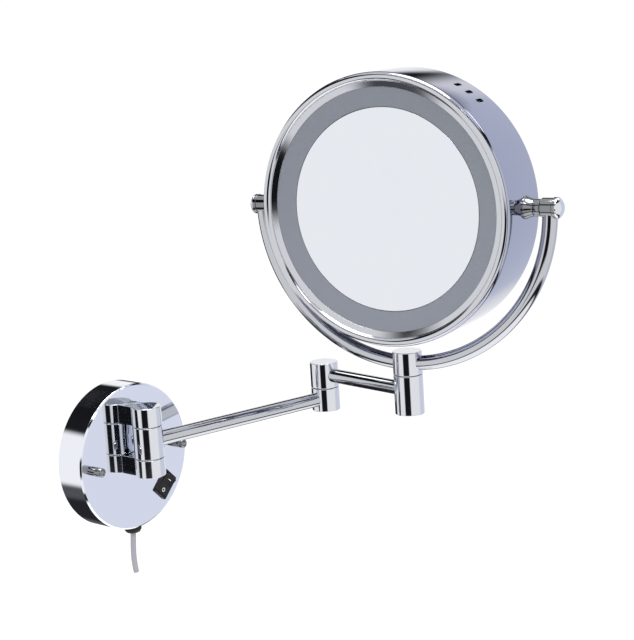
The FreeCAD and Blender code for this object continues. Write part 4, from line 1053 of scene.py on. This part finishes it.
def flag_tone(bearing, height):
    """The surround's tone in one direction: white, darkened by each flag that covers it."""
    tone = Vector((1.0, 1.0, 1.0))
    for middle, half, soft, low, high, shade in FLAGS:
        away = abs((bearing - middle + 180.0) % 360.0 - 180.0)
        across = 1.0 - eased((away - half) / soft)
        upright = eased((height - low) / 0.2 + 0.5) * eased((high - height) / 0.2 + 0.5)
        tone = tone.lerp(Vector(shade), across * upright)
    return tone


class MIRROR_OT_stage(bpy.types.Operator):
    """Camera, pale floor and soft studio light"""
    bl_idname = "mirror.stage"
    bl_label = "Stage"

    def execute(self, context):
        scene = context.scene
        stage = scene.mirror_stage
        scene.view_settings.view_transform = "Standard"
        self.camera(scene, stage)
        ground = bmesh.new()
        bmesh.ops.create_circle(ground, cap_ends=True, segments=128, radius=FLOOR_RADIUS)
        mesh = bpy.data.meshes.new("floor")
        ground.to_mesh(mesh)
        ground.free()
        floor = bpy.data.objects.new("floor", mesh)
        floor.location.z = stage.floor
        scene.collection.objects.link(floor)
        mesh.materials.append(surface("pale floor", (0.97, 0.97, 0.97), 0.9, 0.0, 0.05, 8.0))
        self.surround(scene, stage)
        for index, (spot, wide, power) in enumerate(LIGHTS):
            data = bpy.data.lights.new(f"soft_{index}", "AREA")
            data.shape = "DISK"
            data.size = wide
            data.energy = stage.key * power
            light = bpy.data.objects.new(f"soft_{index}", data)
            light.location = spot
            light.rotation_euler = (AIM - Vector(spot)).to_track_quat("-Z", "Y").to_euler()
            scene.collection.objects.link(light)
        return {"FINISHED"}

    def camera(self, scene, stage):
        data = bpy.data.cameras.new("camera")
        data.lens = stage.lens
        data.sensor_width = 36.0
        data.shift_x, data.shift_y = stage.shift_x, stage.shift_y
        data.clip_start, data.clip_end = 0.05, 60.0
        camera = bpy.data.objects.new("camera", data)
        scene.collection.objects.link(camera)
        a, e, r = stage.azimuth, stage.elevation, stage.roll
        back = Vector((math.sin(a) * math.cos(e), -math.cos(a) * math.cos(e), math.sin(e)))
        right = Vector((math.cos(a), math.sin(a), 0.0))
        up = back.cross(right)
        tilted = right * math.cos(r) + up * math.sin(r)
        above = up * math.cos(r) - right * math.sin(r)
        turn = Matrix((tilted, above, back)).transposed().to_4x4()
        camera.matrix_world = Matrix.Translation(stage.eye) @ turn
        scene.camera = camera

    def surround(self, scene, stage):
        """A pale room, and a round surround with dark flags that only the chrome sees."""
        world = bpy.data.worlds.new("pale room")
        scene.world = world
        world.use_nodes = True
        sky = world.node_tree.nodes["Background"]
        sky.inputs["Color"].default_value = (1.0, 1.0, 1.0, 1.0)
        sky.inputs["Strength"].default_value = stage.sky
        low, high = stage.floor + 50 * MM, stage.room_top
        verts, tones, faces = [], [], []
        for row in range(ROOM_ROWS + 1):
            height = low + (high - low) * row / ROOM_ROWS
            for column in range(ROOM_COLUMNS):
                bearing = 360.0 * column / ROOM_COLUMNS
                turn = math.radians(bearing)
                verts.append((MIDDLE.x + stage.room * math.sin(turn), MIDDLE.y - stage.room * math.cos(turn),
                              height))
                tones.append(flag_tone(bearing, height))
        for row in range(ROOM_ROWS):
            for column in range(ROOM_COLUMNS):
                here = row * ROOM_COLUMNS + column
                there = row * ROOM_COLUMNS + (column + 1) % ROOM_COLUMNS
                faces.append((here, there, there + ROOM_COLUMNS, here + ROOM_COLUMNS))
        mesh = bpy.data.meshes.new("surround")
        mesh.from_pydata(verts, [], faces)
        layer = mesh.color_attributes.new("tone", "FLOAT_COLOR", "POINT")
        for index, tone in enumerate(tones):
            layer.data[index].color = (*tone, 1.0)
        material = bpy.data.materials.new("surround")
        material.use_nodes = True
        nodes, links = material.node_tree.nodes, material.node_tree.links
        nodes.clear()
        tone, glow = nodes.new("ShaderNodeAttribute"), nodes.new("ShaderNodeEmission")
        tone.attribute_name = "tone"
        glow.inputs["Strength"].default_value = stage.sky
        out = nodes.new("ShaderNodeOutputMaterial")
        links.new(tone.outputs["Color"], glow.inputs["Color"])
        links.new(glow.outputs[0], out.inputs["Surface"])
        mesh.materials.append(material)
        room = bpy.data.objects.new("surround", mesh)
        scene.collection.objects.link(room)
        room.visible_camera = False
        room.visible_diffuse = False
        room.visible_shadow = False


# ---------------------------------------------------------------- panel and start

OPERATORS = (
    MIRROR_OT_stage,
    MIRROR_OT_cover,
    MIRROR_OT_cord,
    MIRROR_OT_switch,
    MIRROR_OT_hinges,
    MIRROR_OT_arms,
    MIRROR_OT_fork,
    MIRROR_OT_drum,
    MIRROR_OT_faces,
    MIRROR_OT_inner,
)


class MIRROR_PT_sidebar(bpy.types.Panel):
    """Sizes and steps of the shaving mirror"""
    bl_idname = "MIRROR_PT_sidebar"
    bl_label = "Shaving mirror"
    bl_space_type = "VIEW_3D"
    bl_region_type = "UI"
    bl_category = "Mirror"

    def draw(self, context):
        layout = self.layout
        for name, group in GROUPS.items():
            box = layout.box()
            box.label(text=name.replace("mirror_", "").capitalize())
            for key in group.__annotations__:
                box.prop(getattr(context.scene, name), key)
        for step in OPERATORS:
            layout.operator(step.bl_idname)


CLASSES = (*GROUPS.values(), *OPERATORS, MIRROR_PT_sidebar)


def register():
    for item in CLASSES:
        bpy.utils.register_class(item)
    for name, group in GROUPS.items():
        setattr(bpy.types.Scene, name, PointerProperty(type=group))


def unregister():
    for name in GROUPS:
        delattr(bpy.types.Scene, name)
    for item in reversed(CLASSES):
        bpy.utils.unregister_class(item)


def main():
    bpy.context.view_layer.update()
    register()
    bpy.ops.mirror.stage()
    bpy.ops.mirror.cover()
    bpy.ops.mirror.cord()
    bpy.ops.mirror.switch()
    bpy.ops.mirror.hinges()
    bpy.ops.mirror.arms()
    bpy.ops.mirror.fork()
    bpy.ops.mirror.drum()
    bpy.ops.mirror.faces()
    bpy.ops.mirror.inner()


if __name__ == "__main__":
    main()
